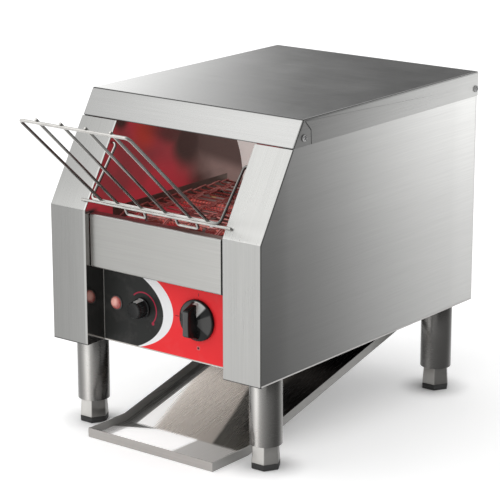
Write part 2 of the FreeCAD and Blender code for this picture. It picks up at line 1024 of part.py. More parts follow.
def heater_tubes(places, z):
    """Straight tubes across the chamber, their ends in the caps."""
    end = wall_out + cap_bore
    return [rod((-end, y, z), (end, y, z), tube_r, tube_sides) for y in places]


def heater_end_caps():
    """Square ceramic caps on the tube ends, against the outside of the chamber walls."""
    tubes = [(y, upper_z) for y in upper_y] + [(y, lower_z) for y in lower_y]
    right = []
    for y, z in tubes:
        block = box(
            wall_out, wall_out + cap_l, y - cap_half, y + cap_half, z - cap_half, z + cap_half
        )
        bore = broad_rod((wall_out - overrun, y, z), (wall_out + cap_bore, y, z), tube_r + fit, wire_sides)
        right.append(block.cut(bore))
    return right + [mirrored(c) for c in right]


# Controls


def control_bush(x, z):
    """The bush of a rotary control: through the panel, bored for the spindle."""
    front = control_y - overlay_t
    bush = broad_rod((x, front, z), (x, notch_y, z), control_bush_r)
    bore_end = (x, notch_y + spindle_in + seam, z)
    return bush, broad_rod((x, front - overrun, z), bore_end, spindle_r + fit)


def power_switch():
    """Rotary switch behind the panel."""
    half = switch_side / 2
    body = box(
        switch_x - half,
        switch_x + half,
        notch_y,
        notch_y + switch_deep,
        switch_z - half,
        switch_z + half,
    )
    bush, bore = control_bush(switch_x, switch_z)
    return fuse_all([body, bush]).cut(bore)


def speed_control():
    """Speed potentiometer behind the panel."""
    start, end = (speed_x, notch_y, speed_z), (speed_x, notch_y + speed_body_l, speed_z)
    bush, bore = control_bush(speed_x, speed_z)
    return fuse_all([rod(start, end, speed_body_r, round_sides), bush]).cut(bore)


def spindle(x, z):
    """Spindle from inside a control out through the panel into its knob."""
    front = control_y - overlay_t - knob_gap - knob_bore_l
    return rod((x, front, z), (x, notch_y + spindle_in, z), spindle_r, hole_sides)


def knob_bore(x, z, face):
    """The blind bore of a knob, shaped to its spindle."""
    return rod((x, face - knob_bore_l, z), (x, face + overrun, z), spindle_r, hole_sides)


def power_knob():
    """Round skirt with a raised grip bar across it."""
    face = control_y - overlay_t - knob_gap
    top = knob_skirt_h
    outline = [
        (0, 0),
        (0, knob_r),
        (top - knob_edge, knob_r),
        (top, knob_r - knob_edge),
        (top, 0),
    ]
    skirt = turned(outline, (switch_x, face, switch_z), (0, -1, 0), knob_sides)
    half = knob_grip_w / 2
    low, high = face - knob_edge, face - knob_grip_h
    reach, tip = knob_grip_share * knob_r, knob_tip_share * knob_r
    side = [
        (low, switch_z - reach),
        (low, switch_z + reach),
        (high, switch_z + tip),
        (high, switch_z - tip),
    ]
    grip = prism(side, "x", switch_x - half, switch_x + half)
    return fuse_all([skirt, grip]).cut(knob_bore(switch_x, switch_z, face))


def fluted(y, r):
    """The fluted rim of the speed knob at one depth."""
    corners = []
    for k in range(2 * flute_count):
        angle = math.pi * k / flute_count
        reach = r * (1 - flute_share * (k % 2))
        corners.append(V(speed_x + reach * math.cos(angle), y, speed_z + reach * math.sin(angle)))
    return corners


def speed_knob():
    """Small tapered knob with a fluted rim."""
    face = control_y - overlay_t - knob_gap
    front = face - speed_knob_h
    rims = [
        fluted(face, speed_knob_r),
        fluted(front + knob_edge, speed_knob_tip_r),
        fluted(front, speed_knob_tip_r - knob_edge),
    ]
    faces = [Part.Face(polygon(rims[0])), Part.Face(polygon(rims[-1]))]
    for first, second in zip(rims, rims[1:]):
        faces += sleeve(first, second)
    return skinned(faces).cut(knob_bore(speed_x, speed_z, face))


def lamp_holder():
    """Lamp body through the panel, with a rim that holds the lens."""
    outline = [
        (-overlay_t - lamp_body_l, 0),
        (-overlay_t - lamp_body_l, lamp_body_r),
        (0, lamp_body_r),
        (0, lamp_r + lamp_rim),
        (lamp_rim_h, lamp_r + lamp_rim),
        (lamp_rim_h, lamp_r),
        (lamp_rim_h / 2, lamp_r),
        (lamp_rim_h / 2, 0),
    ]
    return turned(outline, (lamp_x, control_y - overlay_t, lamp_z), (0, -1, 0), hole_sides)


def lamp_lens():
    """Domed lens in the rim."""
    low = lamp_rim_h / 2
    r = lamp_r - fit
    outline = [(low, 0), (low, r), (lamp_rim_h, r)]
    outline += [(lamp_rim_h + lamp_dome * up, r * out) for up, out in lamp_dome_shares]
    outline.append((lamp_rim_h + lamp_dome, 0))
    return turned(outline, (lamp_x, control_y - overlay_t, lamp_z), (0, -1, 0), hole_sides)


def terminal_block():
    """Mains terminals on the base, beside the chamber."""
    x = (wall_out + side_out) / 2
    body = box(
        x - terminal_w / 2,
        x + terminal_w / 2,
        terminal_y,
        terminal_y + terminal_l,
        base_top,
        base_top + terminal_h,
    )
    step = terminal_l / terminal_ways
    half = step * terminal_way_share / 2
    low = base_top + terminal_h * terminal_deep_share
    ways = []
    for k in range(terminal_ways):
        y = terminal_y + step * (k + 0.5)
        ways.append(box(x - half, x + half, y - half, y + half, low, base_top + terminal_h + overrun))
    return cut_all(body, ways)


def cable_gland():
    """Gland in the rear panel: hexagon, domed cap and a nut inside."""
    y = rear_out
    parts = []
    for low, high in ((-sheet - gland_nut_h, -sheet), (0, gland_nut_h)):
        start, end = (gland_x, y + low, gland_z), (gland_x, y + high, gland_z)
        parts.append(rod(start, end, gland_nut_r, hex_sides))
    parts.append(broad_rod((gland_x, y - sheet, gland_z), (gland_x, y, gland_z), gland_r))
    dome = [(gland_nut_h, 0), (gland_nut_h, gland_r)]
    dome += [(gland_nut_h + gland_cap_h * up, gland_r * out) for up, out in gland_dome_shares]
    dome.append((gland_nut_h + gland_cap_h, 0))
    parts.append(turned(dome, (gland_x, y, gland_z), (0, 1, 0), hole_sides))
    before = (gland_x, y - sheet - gland_nut_h - overrun, gland_z)
    behind = (gland_x, gland_back + overrun, gland_z)
    return fuse_all(parts).cut(broad_rod(before, behind, gland_bore_r))


# Legs and feet


def leg_tubes():
    """Round tubes with a closed top, for the plugs below and the bolts above."""
    tubes = []
    for x, y in leg_places():
        tube = rod((x, y, leg_low), (x, y, leg_h), leg_r)
        low = (x, y, leg_low - overrun)
        hollow = broad_rod(low, (x, y, leg_h - leg_disc), leg_r - leg_wall)
        tubes.append(cut_all(tube, [hollow, broad_rod(low, (x, y, leg_h + overrun), bolt_r + fit)]))
    return tubes


def leg_plugs():
    """Plugs in the lower ends of the legs, bored for the feet."""
    plugs = []
    for x, y in leg_places():
        low, high = leg_low + plug_in, leg_low + plug_in + plug_l
        plug = broad_rod((x, y, low), (x, y, high), leg_r - leg_wall - fit)
        bore = broad_rod((x, y, low - overrun), (x, y, high + overrun), stud_r + fit)
        plugs.append(plug.cut(bore))
    return plugs


def leg_bolts():
    """Hexagon bolts that hold the legs under the base."""
    bolts = []
    for x, y in leg_places():
        head = broad_rod((x, y, base_top), (x, y, base_top + bolt_head_h), bolt_head_r, hex_sides)
        shank = rod((x, y, leg_h - leg_disc - bolt_below), (x, y, base_top), bolt_r, hole_sides)
        bolts.append(fuse_all([head, shank]))
    return bolts


def foot(x, y):
    """Levelling foot: flared hexagon with a stud that runs up into the leg's plug."""
    top = leg_low - foot_gap
    low, high = hexagon(hex_low_flat, x, y, pad_h), hexagon(hex_top_flat, x, y, top)
    ends = [Part.Face(polygon(low)), Part.Face(polygon(high))]
    body = skinned(sleeve(low, high) + ends)
    stud = rod((x, y, top), (x, y, top + stud_up), stud_r, hole_sides)
    return fuse_all([body, stud])


def foot_pad(x, y):
    """Rubber pad under a foot."""
    return Part.Face(polygon(hexagon(hex_low_flat, x, y, 0))).extrude(V(0, 0, pad_h))


# Feed rack


def rack_hanger():
    """Bent wire: two pivot pins, two arms and the lower rod that the rack stands on."""
    py, pz = pin_yz
    right = [(rack_arm_x, rack_rod_y, rack_rod_z), (rack_arm_x, py, pz), (pin_out, py, pz)]
    left = [(-x, y, z) for x, y, z in reversed(right)]
    return bent_wire(left + right, wire_r, rack_bend)


def rack_cross_rod():
    """Straight rod whose ends rest on the sloped pillars."""
    return rod((-cross_half, *cross_yz), (cross_half, *cross_yz), rod_r, wire_sides)


def rack_point(x, along, up=0.0):
    """A point on the rack: across, along it from the lower rod, and above its plane."""
    return (
        x,
        rack_rod_y + along * rack_dir[0] + up * rack_up[0],
        rack_rod_z + along * rack_dir[1] + up * rack_up[1],
    )


def rack_frame():
    """U-shaped wire: two sides and the top bar."""
    foot_at = wire_r + wire_r - weld_sink
    points = [
        rack_point(-rack_half_w, foot_at - wire_r),
        rack_point(-rack_half_w, rack_len),
        rack_point(rack_half_w, rack_len),
        rack_point(rack_half_w, foot_at - wire_r),
    ]
    return bent_wire(points, wire_r, rack_bend)


def rack_wires():
    """Inner wires, butted on the lower rod and lying on the top bar."""
    wires = []
    for x in rack_wire_x:
        low = rack_point(x, wire_r - weld_sink)
        high = rack_point(x, rack_len + rack_tip, wire_r + thin_wire_r - weld_sink)
        wires.append(rod(low, high, thin_wire_r, wire_sides))
    return wires


def rack_staples():
    """Two small wire loops under the cross rod."""
    y, z = cross_yz
    sink = (rod_r - weld_sink) / math.hypot(staple_back, staple_drop)
    start = (y + staple_back * sink, z - staple_drop * sink)
    end = (y + staple_back, z - staple_drop)
    return [
        bent_wire([(a, *start), (a, *end), (b, *end), (b, *start)], rod_r - fit, staple_bend)
        for a, b in staple_x
    ]


# Chute


def chute_line(lift):
    """The chute's floor from front to back, lifted square to itself."""
    turn = math.atan2(chute_rise, chute_back - chute_bend_y)
    back = chute_back + overrun
    return [
        (chute_bend_y - lift * math.tan(turn / 2), lift),
        (back, (back - chute_bend_y) * math.tan(turn) + lift / math.cos(turn)),
    ]


def toast_chute():
    """Pan that lies on the floor in front and rises to the back, with a front lip and side flanges."""
    floor = chute_line(0)
    rim = chute_line(chute_flange)
    outer = [(chute_front, 0)] + floor + rim[::-1] + [(chute_front, chute_flange)]
    pan = prism(outer, "x", -chute_half, chute_half)
    bed = chute_line(sheet)
    above = chute_line(chute_flange + overrun)
    inner = [(chute_front + sheet, sheet)] + bed + above[::-1]
    inner.append((chute_front + sheet, chute_flange + overrun))
    hollow = prism(inner, "x", -chute_half + sheet, chute_half - sheet)
    end = box(
        -chute_half - overrun,
        chute_half + overrun,
        chute_back,
        chute_back + 2 * overrun,
        0,
        leg_h + overrun,
    )
    return cut_all(pan, [hollow, end])


def chute_bar_place():
    """The (y, z) of the bar's centre, just under the ramp."""
    turn = math.atan2(chute_rise, chute_back - chute_bend_y)
    away = chute_bar_r + chute_bar_gap
    z = (chute_bar_y - chute_bend_y) * math.tan(turn)
    return (chute_bar_y + away * math.sin(turn), z - away * math.cos(turn))


def chute_bar():
    """Cross bar that carries the back of the ramp."""
    y, z = chute_bar_place()
    end = chute_half + chute_bracket_gap + chute_bracket_t
    return rod((-end, y, z), (end, y, z), chute_bar_r, hole_sides)


def chute_brackets():
    """Angle brackets under the base that hold the bar's ends."""
    y, z = chute_bar_place()
    inside = chute_half + chute_bracket_gap
    low, high = y - chute_bracket_w / 2, y + chute_bracket_w / 2
    line = [
        (inside, z - chute_bar_r - chute_bracket_low),
        (inside, leg_h),
        (inside + flange, leg_h),
    ]
    angle = folded_sheet(line, "y", low, high, -chute_bracket_t)
    hole = broad_rod((inside - overrun, y, z), (inside + overrun, y, z), chute_bar_r + fit)
    return both_sides(angle.cut(hole))


def pieces():
    """Every node's name and its solids."""
    side = right_side_panel()
    pillar = right_pillar()
    wall = right_chamber_wall()
    nodes = {
        "base_chassis": base_chassis(),
        "right_side_panel": side,
        "left_side_panel": mirrored(side),
        "right_pillar": pillar,
        "left_pillar": mirrored(pillar),
        "top_cover": top_cover(),
        "cover_screws": cover_screws(),
        "front_panel": front_panel(),
        "control_panel": control_panel(),
        "control_overlay": control_overlay(),
        "rear_panel": rear_panel(),
        "right_chamber_wall": wall,
        "left_chamber_wall": mirrored(wall),
        "chamber_floor": chamber_floor(),
        "chamber_ceiling": chamber_ceiling(),
        "rear_deflector": rear_deflector(),
        "conveyor_belt": conveyor_belt(),
        "drive_sprockets": sprockets(belt_back_y),
        "drive_shaft": drive_shaft(),
        "idler_sprockets": sprockets(belt_front_y),
        "idler_shaft": idler_shaft(),
        "shaft_bushes": shaft_bushes(),
        "belt_rails": belt_rails(),
        "shaft_coupling": shaft_coupling(),
        "motor_shaft": motor_shaft(),
        "gear_motor": gear_motor(),
        "motor_bracket": motor_bracket(),
        "upper_heaters": heater_tubes(upper_y, upper_z),
        "lower_heaters": heater_tubes(lower_y, lower_z),
        "heater_end_caps": heater_end_caps(),
        "power_switch": power_switch(),
        "power_spindle": spindle(switch_x, switch_z),
        "power_knob": power_knob(),
        "speed_control": speed_control(),
        "speed_spindle": spindle(speed_x, speed_z),
        "speed_knob": speed_knob(),
        "lamp_holder": lamp_holder(),
        "lamp_lens": lamp_lens(),
        "terminal_block": terminal_block(),
        "cable_gland": cable_gland(),
        "leg_tubes": leg_tubes(),
        "leg_plugs": leg_plugs(),
        "leg_bolts": leg_bolts(),
        "rack_hanger": rack_hanger(),
        "rack_cross_rod": rack_cross_rod(),
        "rack_frame": rack_frame(),
        "rack_wires": rack_wires(),
        "rack_staples": rack_staples(),
        "toast_chute": toast_chute(),
        "chute_bar": chute_bar(),
        "chute_brackets": chute_brackets(),
    }
    for ends, y in (("front", leg_front_y), ("rear", leg_back_y)):
        for hand, x in (("left", -leg_x), ("right", leg_x)):
            nodes["foot_" + ends + "_" + hand] = foot(x, y)
            nodes["foot_pad_" + ends + "_" + hand] = foot_pad(x, y)
    return nodes


def save(name, shape):
    """Write one node, moved so that the origin is the middle of the footprint."""
    solids = shape if isinstance(shape, list) else shape.Solids
    whole = solids[0] if len(solids) == 1 else Part.makeCompound(solids)
    whole = whole.copy()
    whole.translate(V(0, -footprint_y, 0))
    whole.exportStep(os.path.join("parts", name + ".step"))


os.makedirs("parts", exist_ok=True)
for node, shape in pieces().items():
    save(node, shape)
print("origin to body front", round(footprint_y, 3))
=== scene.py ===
"""Looks of a table-top conveyor toaster: finishes for its sheets, and finer wires, belt, knobs and legs."""

import math

import bmesh
import bpy
from bpy.props import FloatProperty, FloatVectorProperty, IntProperty, PointerProperty
from mathutils import Matrix, Vector


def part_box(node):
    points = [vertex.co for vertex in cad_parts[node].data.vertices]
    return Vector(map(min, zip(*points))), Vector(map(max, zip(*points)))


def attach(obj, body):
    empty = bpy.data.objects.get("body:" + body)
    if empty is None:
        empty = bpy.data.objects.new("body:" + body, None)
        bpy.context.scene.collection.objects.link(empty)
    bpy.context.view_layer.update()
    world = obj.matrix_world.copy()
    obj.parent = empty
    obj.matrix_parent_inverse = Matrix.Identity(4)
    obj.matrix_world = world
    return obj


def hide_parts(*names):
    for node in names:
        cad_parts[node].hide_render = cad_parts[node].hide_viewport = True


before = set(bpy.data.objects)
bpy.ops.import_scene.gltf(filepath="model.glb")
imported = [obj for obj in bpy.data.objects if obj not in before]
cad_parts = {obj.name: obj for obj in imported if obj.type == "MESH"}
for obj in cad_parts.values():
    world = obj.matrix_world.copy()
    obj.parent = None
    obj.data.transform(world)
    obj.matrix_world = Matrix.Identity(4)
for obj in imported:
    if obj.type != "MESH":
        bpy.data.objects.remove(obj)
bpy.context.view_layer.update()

bl_info = {
    "name": "Conveyor toaster",
    "version": (1, 0, 0),
    "blender": (4, 5, 0),
    "location": "3D View > Sidebar > Toaster",
    "description": "Dresses the packed model of a conveyor toaster",
    "category": "Add Mesh",
}

MM = 0.001
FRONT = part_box("right_pillar")[0][1]
HALF_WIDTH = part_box("top_cover")[1][0]
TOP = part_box("top_cover")[1][2]
LEG_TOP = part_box("leg_tubes")[1][2]
BEND_HEIGHT = 0.255
SLOPE_RUN = 0.072
HEADER_EDGE = 0.3457
WALL = -0.0945
CORNERS = ("front_left", "front_right", "rear_left", "rear_right")
GRAIN = {"x": (14, 900, 900), "y": (900, 14, 900), "z": (900, 900, 14), "slope": (900, 14, 14)}
CAMERA_PLACE = (1.4222, -1.81406, 0.8299)
CAMERA_AHEAD = (-0.5916, 0.7611, -0.2662)
CAMERA_ROLL = 0.08
LENS = 154.27
SOFT_BOX_PLACE = (-1.9, -1.9, 2.4)
SOFT_BOX_AIM = (0, 0, 0.2)
SOFT_BOX_SIDE = 3.4
SOFT_BOX_WATTS = 31.0


def at(x, back, up):
    """A point in metres from millimetres: across, behind the body's front face and above the floor."""
    return Vector((x * MM, FRONT + back * MM, up * MM))


def deep(*stops):
    """Stops of (metres behind the body's front face, factor) as places along Y."""
    return [(FRONT + back, factor) for back, factor in stops]


def toned(colour, factor):
    """A colour made darker or lighter."""
    return tuple(factor * c for c in colour)


# Finishes


class Value:
    """A number or colour that a material works out. Sums on it add their own nodes."""

    def __init__(self, pattern, socket):
        self.pattern, self.socket = pattern, socket

    def __add__(self, other):
        return self.pattern.math("ADD", self, other)

    def __sub__(self, other):
        return self.pattern.math("SUBTRACT", self, other)

    def __rsub__(self, other):
        return self.pattern.math("SUBTRACT", other, self)

    def __mul__(self, other):
        if "RGBA" in (self.socket.type, getattr(other, "socket", self.socket).type) or hasattr(other, "__len__"):
            return self.pattern.blend(1.0, self, other, "MULTIPLY")
        return self.pattern.math("MULTIPLY", self, other)

    def __truediv__(self, other):
        return self.pattern.math("DIVIDE", self, other)

    def __lt__(self, other):
        return self.pattern.math("LESS_THAN", self, other)

    def __gt__(self, other):
        return self.pattern.math("GREATER_THAN", self, other)

    def __or__(self, other):
        return self.pattern.math("MAXIMUM", self, other)

    def __abs__(self):
        return self.pattern.math("ABSOLUTE", self)

    def span(self, low, high, to_low=0.0, to_high=1.0, smooth=False):
        """The value moved from one range to another and held inside it."""
        inputs = dict(enumerate((self, low, high, to_low, to_high)))
        kind = "SMOOTHSTEP" if smooth else "LINEAR"
        return self.pattern.result("ShaderNodeMapRange", inputs, interpolation_type=kind)

    def fade(self, low, high):
        """One below a place, nothing above another, and smooth between them."""
        return self.span(low, high, 1.0, 0.0, smooth=True)

    def drift(self, low, high):
        """A noise's middle reach moved to a range."""
        return self.span(0.3, 0.7, low, high)

    def blend(self, first, second):
        """Two colours mixed by the value."""
        return self.pattern.blend(self, first, second)

    def steps(self, stops, interpolation="LINEAR"):
        """A colour ramp through its (place, colour or factor) stops."""
        node = self.pattern.node("ShaderNodeValToRGB", {"Fac": self})
        node.color_ramp.interpolation = interpolation
        elements = node.color_ramp.elements
        while len(elements) < len(stops):
            elements.new(1.0)
        for element, (place, colour) in zip(elements, stops):
            element.position = place
            element.color = (*(colour if hasattr(colour, "__len__") else (colour,) * 3), 1)
        return Value(self.pattern, node.outputs["Color"])

    def level(self, stops):
        """A smooth curve of factors through (place, factor) stops."""
        low, high = stops[0][0], stops[-1][0]
        most = max(factor for _, factor in stops)
        stops = [((place - low) / (high - low), factor / most) for place, factor in stops]
        return self.span(low, high).steps(stops, "B_SPLINE") * most


class Pattern:
    """The nodes of a material or of the world, worked out from its coordinates."""

    def __init__(self, owner, coordinates):
        owner.use_nodes = True
        self.tree = owner.node_tree
        self.tree.nodes.clear()
        self.texture = self.node("ShaderNodeTexCoord", {}).outputs
        self.where = Value(self, self.texture[coordinates])
        self.x, self.y, self.z = self.split(self.where)

    def node(self, kind, inputs, **settings):
        """Adds a node with its settings and the values of its inputs, by name or number."""
        node = self.tree.nodes.new(kind)
        for key, value in settings.items():
            setattr(node, key, value)
        for key, value in inputs.items():
            self.put(node.inputs[key], value)
        return node

    def result(self, kind, inputs, output=0, **settings):
        """The value that a new node works out."""
        return Value(self, self.node(kind, inputs, **settings).outputs[output])

    def put(self, socket, value):
        """Links a value to a socket, or sets the socket to a number or colour."""
        if isinstance(value, Value):
            self.tree.links.new(value.socket, socket)
        elif socket.type == "RGBA":
            socket.default_value = (*(value if hasattr(value, "__len__") else (value,) * 3), 1)
        else:
            socket.default_value = value

    def split(self, vector):
        """The parts of a vector along X, Y and Z."""
        return [Value(self, part) for part in self.node("ShaderNodeSeparateXYZ", {0: vector}).outputs]

    def math(self, operation, *values):
        """The result of a sum on numbers or values."""
        return self.result("ShaderNodeMath", dict(enumerate(values)), operation=operation)

    def blend(self, factor, first, second, kind="MIX"):
        """Two colours mixed by a factor."""
        inputs = {0: factor, 6: first, 7: second}
        return self.result("ShaderNodeMix", inputs, 2, data_type="RGBA", blend_type=kind)

    def noise(self, scale, stretch=(1, 1, 1), detail=3.0, roughness=0.5, distortion=0.0):
        """Noise over the coordinates, stretched along their axes."""
        spread = self.result("ShaderNodeMapping", {"Vector": self.where, "Scale": stretch})
        inputs = {"Vector": spread, "Scale": scale, "Detail": detail, "Roughness": roughness, "Distortion": distortion}
        return self.result("ShaderNodeTexNoise", inputs, "Fac")

    def waves(self, scale, distortion=0.0):
        """Bands of light and dark."""
        inputs = {"Vector": self.where, "Scale": scale, "Distortion": distortion}
        return self.result("ShaderNodeTexWave", inputs, "Fac")

    def near(self, x, z, y=None):
        """Distance from a point, or from a line along Y."""
        where = self.where if y is not None else self.result("ShaderNodeCombineXYZ", {0: self.x, 2: self.z})
        return self.result("ShaderNodeVectorMath", {0: where, 1: (x, y or 0.0, z)}, "Value", operation="DISTANCE")

    def angle(self, up, across):
        """The direction of a pair of lengths in degrees."""
        return self.math("DEGREES", self.math("ARCTAN2", up, across))


class Finish(Pattern):
    """A node material that is built up from patterns on the object's own coordinates."""

    def __init__(self, name, **constants):
        self.material = bpy.data.materials.new(name)
        super().__init__(self.material, "Object")
        self.shader = self.node("ShaderNodeBsdfPrincipled", {})
        self.node("ShaderNodeOutputMaterial", {"Surface": Value(self, self.shader.outputs["BSDF"])})
        self.give(**constants)

    def give(self, **values):
        """Sets the surface shader's own sockets."""
        for name, value in values.items():
            self.put(self.shader.inputs[name.replace("_", " ")], value)

    def bump(self, height, strength, distance):
        """Raises the surface by a pattern, and hands over the finished material."""
        inputs = {"Height": height, "Strength": strength, "Distance": distance}
        self.give(Normal=self.result("ShaderNodeBump", inputs))
        return self.material

    def normal(self, axis):
        """How far the surface faces along an axis."""
        return self.split(Value(self, self.texture["Normal"]))["xyz".index(axis)]


def brushed_steel(name, colour, grain, roughness=0.3, painted_tones=(), line=None, shade_lines=(), rim=None, metal=1.0):
    """Brushed stainless sheet: fine and broad grain lines, faint smudges, and slow changes of brightness that are
    painted reflection and shade.

    grain is the axis that the lines run along. Each painted tone is (axis, [(place, factor), ...]) in metres.
    line is where a painted dark hairline of shade at the right-hand folded edge begins. Each shade line is (axis,
    begin, full): a painted dark hairline of shade along a fold. rim is where a painted highlight on the left post's
    rolled edge begins.
    """
    finish = Finish(name, Metallic=metal)
    lines = finish.noise(1.0, GRAIN[grain], detail=2.0)
    broad = finish.noise(0.12, GRAIN[grain], detail=2.0, roughness=0.6)
    smudge = finish.noise(9.0, detail=4.0, roughness=0.6, distortion=0.4)
    shade = lines.span(0.25, 0.75, 0.94, 1.04) * broad.span(0.25, 0.75, 0.98, 1.02) * smudge.drift(0.98, 1.015)
    base = shade * colour
    # Painted reflection and shade: slow changes of brightness along each axis.
    for axis, stops in painted_tones:
        base *= getattr(finish, axis).level(stops)
    # Painted shade: a dark hairline at the right-hand folded edge.
    if line:
        base *= finish.x.span(line, line + 0.0005, 1.0, 0.14)
    # Painted highlight: a paler band along the left post's rolled inner edge.
    if rim:
        edge_highlight = finish.x.span(rim, rim + 0.001) * (finish.x < 0.0)
        base *= edge_highlight.span(0.0, 1.0, 1.0, 1.4)
    # Painted shade: dark hairlines along folds and edges.
    for axis, begin, full in shade_lines:
        base *= getattr(finish, axis).span(begin, full, 1.0, 0.18)
    rough = smudge.drift(roughness - 0.03, roughness + 0.04) + lines.span(0.25, 0.75, -0.03, 0.03)
    finish.give(Base_Color=base, Roughness=rough)
    return finish.bump(lines, 0.05, 0.0002)


def painted_wall_light(finish, depth, tint):
    """The chamber wall's painted light and heat colour: painted red heater glow in front, fading to brown and grey
    towards the back, with painted shadows under the header.
    """
    y, z = finish.y, finish.z
    back = depth.span(FRONT + 0.14, FRONT + 0.2, smooth=True)
    # Painted heater light: in front the heat colour turns dark red.
    tint = back.blend(tint * (0.35, 0.12, 0.14), tint)
    # Painted glow: red clouds, a brighter painted glow spot by the upper front heater, and a dim brown glow towards the
    # back.
    crimson = finish.noise(16.0, detail=1.0).steps([(0.35, (0.15, 0.021, 0.025)), (0.6, (0.26, 0.02, 0.028))])
    hot = finish.near(WALL, 0.324, FRONT + 0.104).fade(0.004, 0.03)
    glow = hot.blend(crimson, (0.25, 0.022, 0.014))
    dim = depth.span(FRONT + 0.19, FRONT + 0.23).blend((0.035, 0.014, 0.012), (0.088, 0.055, 0.05))
    glow = back.blend(glow, dim)
    # Painted shadows, which also put out the glow: a band under the header's edge, a patch lower down and a spot in the
    # upper front corner.
    slant = z + (y - FRONT) * 0.405
    under = slant.span(0.354, 0.371, 0.0, 0.8, smooth=True)
    under *= y.span(FRONT + 0.09, FRONT + 0.14, 0.1, 1.0, smooth=True)
    shadow = finish.near(WALL, 0.299, FRONT + 0.178).fade(0.014, 0.038)
    shadow = shadow | under | finish.near(WALL, 0.3455, FRONT + 0.064).fade(0.006, 0.018)
    glow = shadow.blend(glow, (0.022, 0.009, 0.008))
    tint = shadow.blend(tint, (0.045, 0.036, 0.033))
    hem = y.span(FRONT + 0.015, FRONT + 0.025, 1.0, 0.0) * z.span(0.252, 0.256, 1.0, 0.0)
    finish.give(Emission_Color=hem.blend(glow, 0.0), Emission_Strength=1.0)
    return hem.blend(tint, (0.12, 0.12, 0.118))


def chamber_steel(name, colour, painted_glow):
    """Chamber sheet: brushed, browned by heat in clouds; on the side walls also painted red glow and painted shadows.
    """
    finish = Finish(name, Metallic=0.7)
    grain = finish.noise(1.0, (900, 20, 900), detail=2.0)
    cloud = finish.noise(14.0, detail=5.0, roughness=0.6, distortion=0.6)
    tint = cloud.steps([(0.3, toned(colour, 0.6)), (0.5, colour), (0.72, toned(colour, 1.3))])
    # Side walls: painted red glow and painted shadows.
    if painted_glow:
        tint = painted_wall_light(finish, finish.y + finish.noise(11.0, detail=2.0).drift(-0.02, 0.02), tint)
    finish.give(Base_Color=grain.drift(0.0, 0.15).blend(tint, (0.1, 0.08, 0.07)), Roughness=cloud.drift(0.3, 0.5))
    return finish.bump(grain, 0.08, 0.0002)


def deflector_steel(name):
    """Curved back of the chamber: pale brushed sheet with a painted glow, stronger on its left."""
    finish = Finish(name, Metallic=0.3)
    lines = finish.noise(1.0, (14, 900, 900), detail=2.0)
    cloud = finish.noise(16.0, detail=4.0, roughness=0.6)
    # The emission is a painted glow, stronger on the left.
    finish.give(
        Base_Color=lines.span(0.25, 0.75, 0.9, 1.04) * (0.85, 0.81, 0.78),
        Roughness=cloud.drift(0.34, 0.46),
        Emission_Color=cloud.drift(0.8, 1.0) * (1.0, 0.93, 0.89),
        Emission_Strength=finish.x.span(-0.03, 0.0, 0.42, 0.2, smooth=True),
    )
    return finish.bump(lines, 0.05, 0.0002)


def bright_wire(name, colour, roughness, right=1.0):
    """Plated wire: drawing marks and small dull spots, with painted shade on the side that faces +X. right is the
    painted shade factor of what stands by the right post.
    """
    finish = Finish(name, Metallic=1.0)
    marks = finish.noise(220.0)
    spots = finish.noise(60.0, detail=4.0, roughness=0.7)
    base = spots.span(0.45, 0.75, 0.0, 0.6).blend(colour, toned(colour, 0.6))
    # Painted shade: the side facing +X darker, and the wire by the right post darker.
    base *= finish.normal("x").span(0.1, 0.6, 1.0, 0.33, smooth=True)
    base *= finish.x.span(0.075, 0.085, 1.0, right)
    finish.give(Base_Color=base, Roughness=marks.drift(roughness - 0.05, roughness + 0.12))
    return finish.bump(marks, 0.15, 0.0002)


def belt_steel(name, colour):
    """Belt wire: browned by heat, with brighter rubbed patches."""
    finish = Finish(name, Metallic=0.5)
    cloud = finish.noise(26.0, detail=4.0, roughness=0.6)
    fine = finish.noise(300.0, detail=2.0)
    worn = cloud.steps([(0.3, toned(colour, 0.5)), (0.5, colour), (0.72, (0.78, 0.36, 0.33))])
    finish.give(Base_Color=worn, Roughness=fine.drift(0.24, 0.42))
    return finish.bump(fine, 0.2, 0.0002)


def machined_steel(name, colour, roughness=0.24):
    """Turned or stamped steel with fine tool marks."""
    finish = Finish(name, Metallic=1.0)
    marks = finish.noise(1.0, (700, 80, 700))
    base = finish.noise(40.0).span(0.4, 0.7, 0.0, 0.5).blend(colour, toned(colour, 0.7))
    finish.give(Base_Color=base, Roughness=marks.drift(roughness - 0.06, roughness + 0.1))
    return finish.bump(marks, 0.12, 0.0002)


def painted_streaks(finish, colour, stops, shift):
    """Painted reflections: upright streaks by the way the surface faces round a polished post, turned a little from the
    right legs to the left ones.
    """
    facing = finish.angle(finish.normal("y"), finish.normal("x"))
    turned_on = facing - finish.x.span(-0.12, 0.12, shift, 0.0)
    return finish.math("WRAP", turned_on, 180.0, -180.0).level(stops) * colour


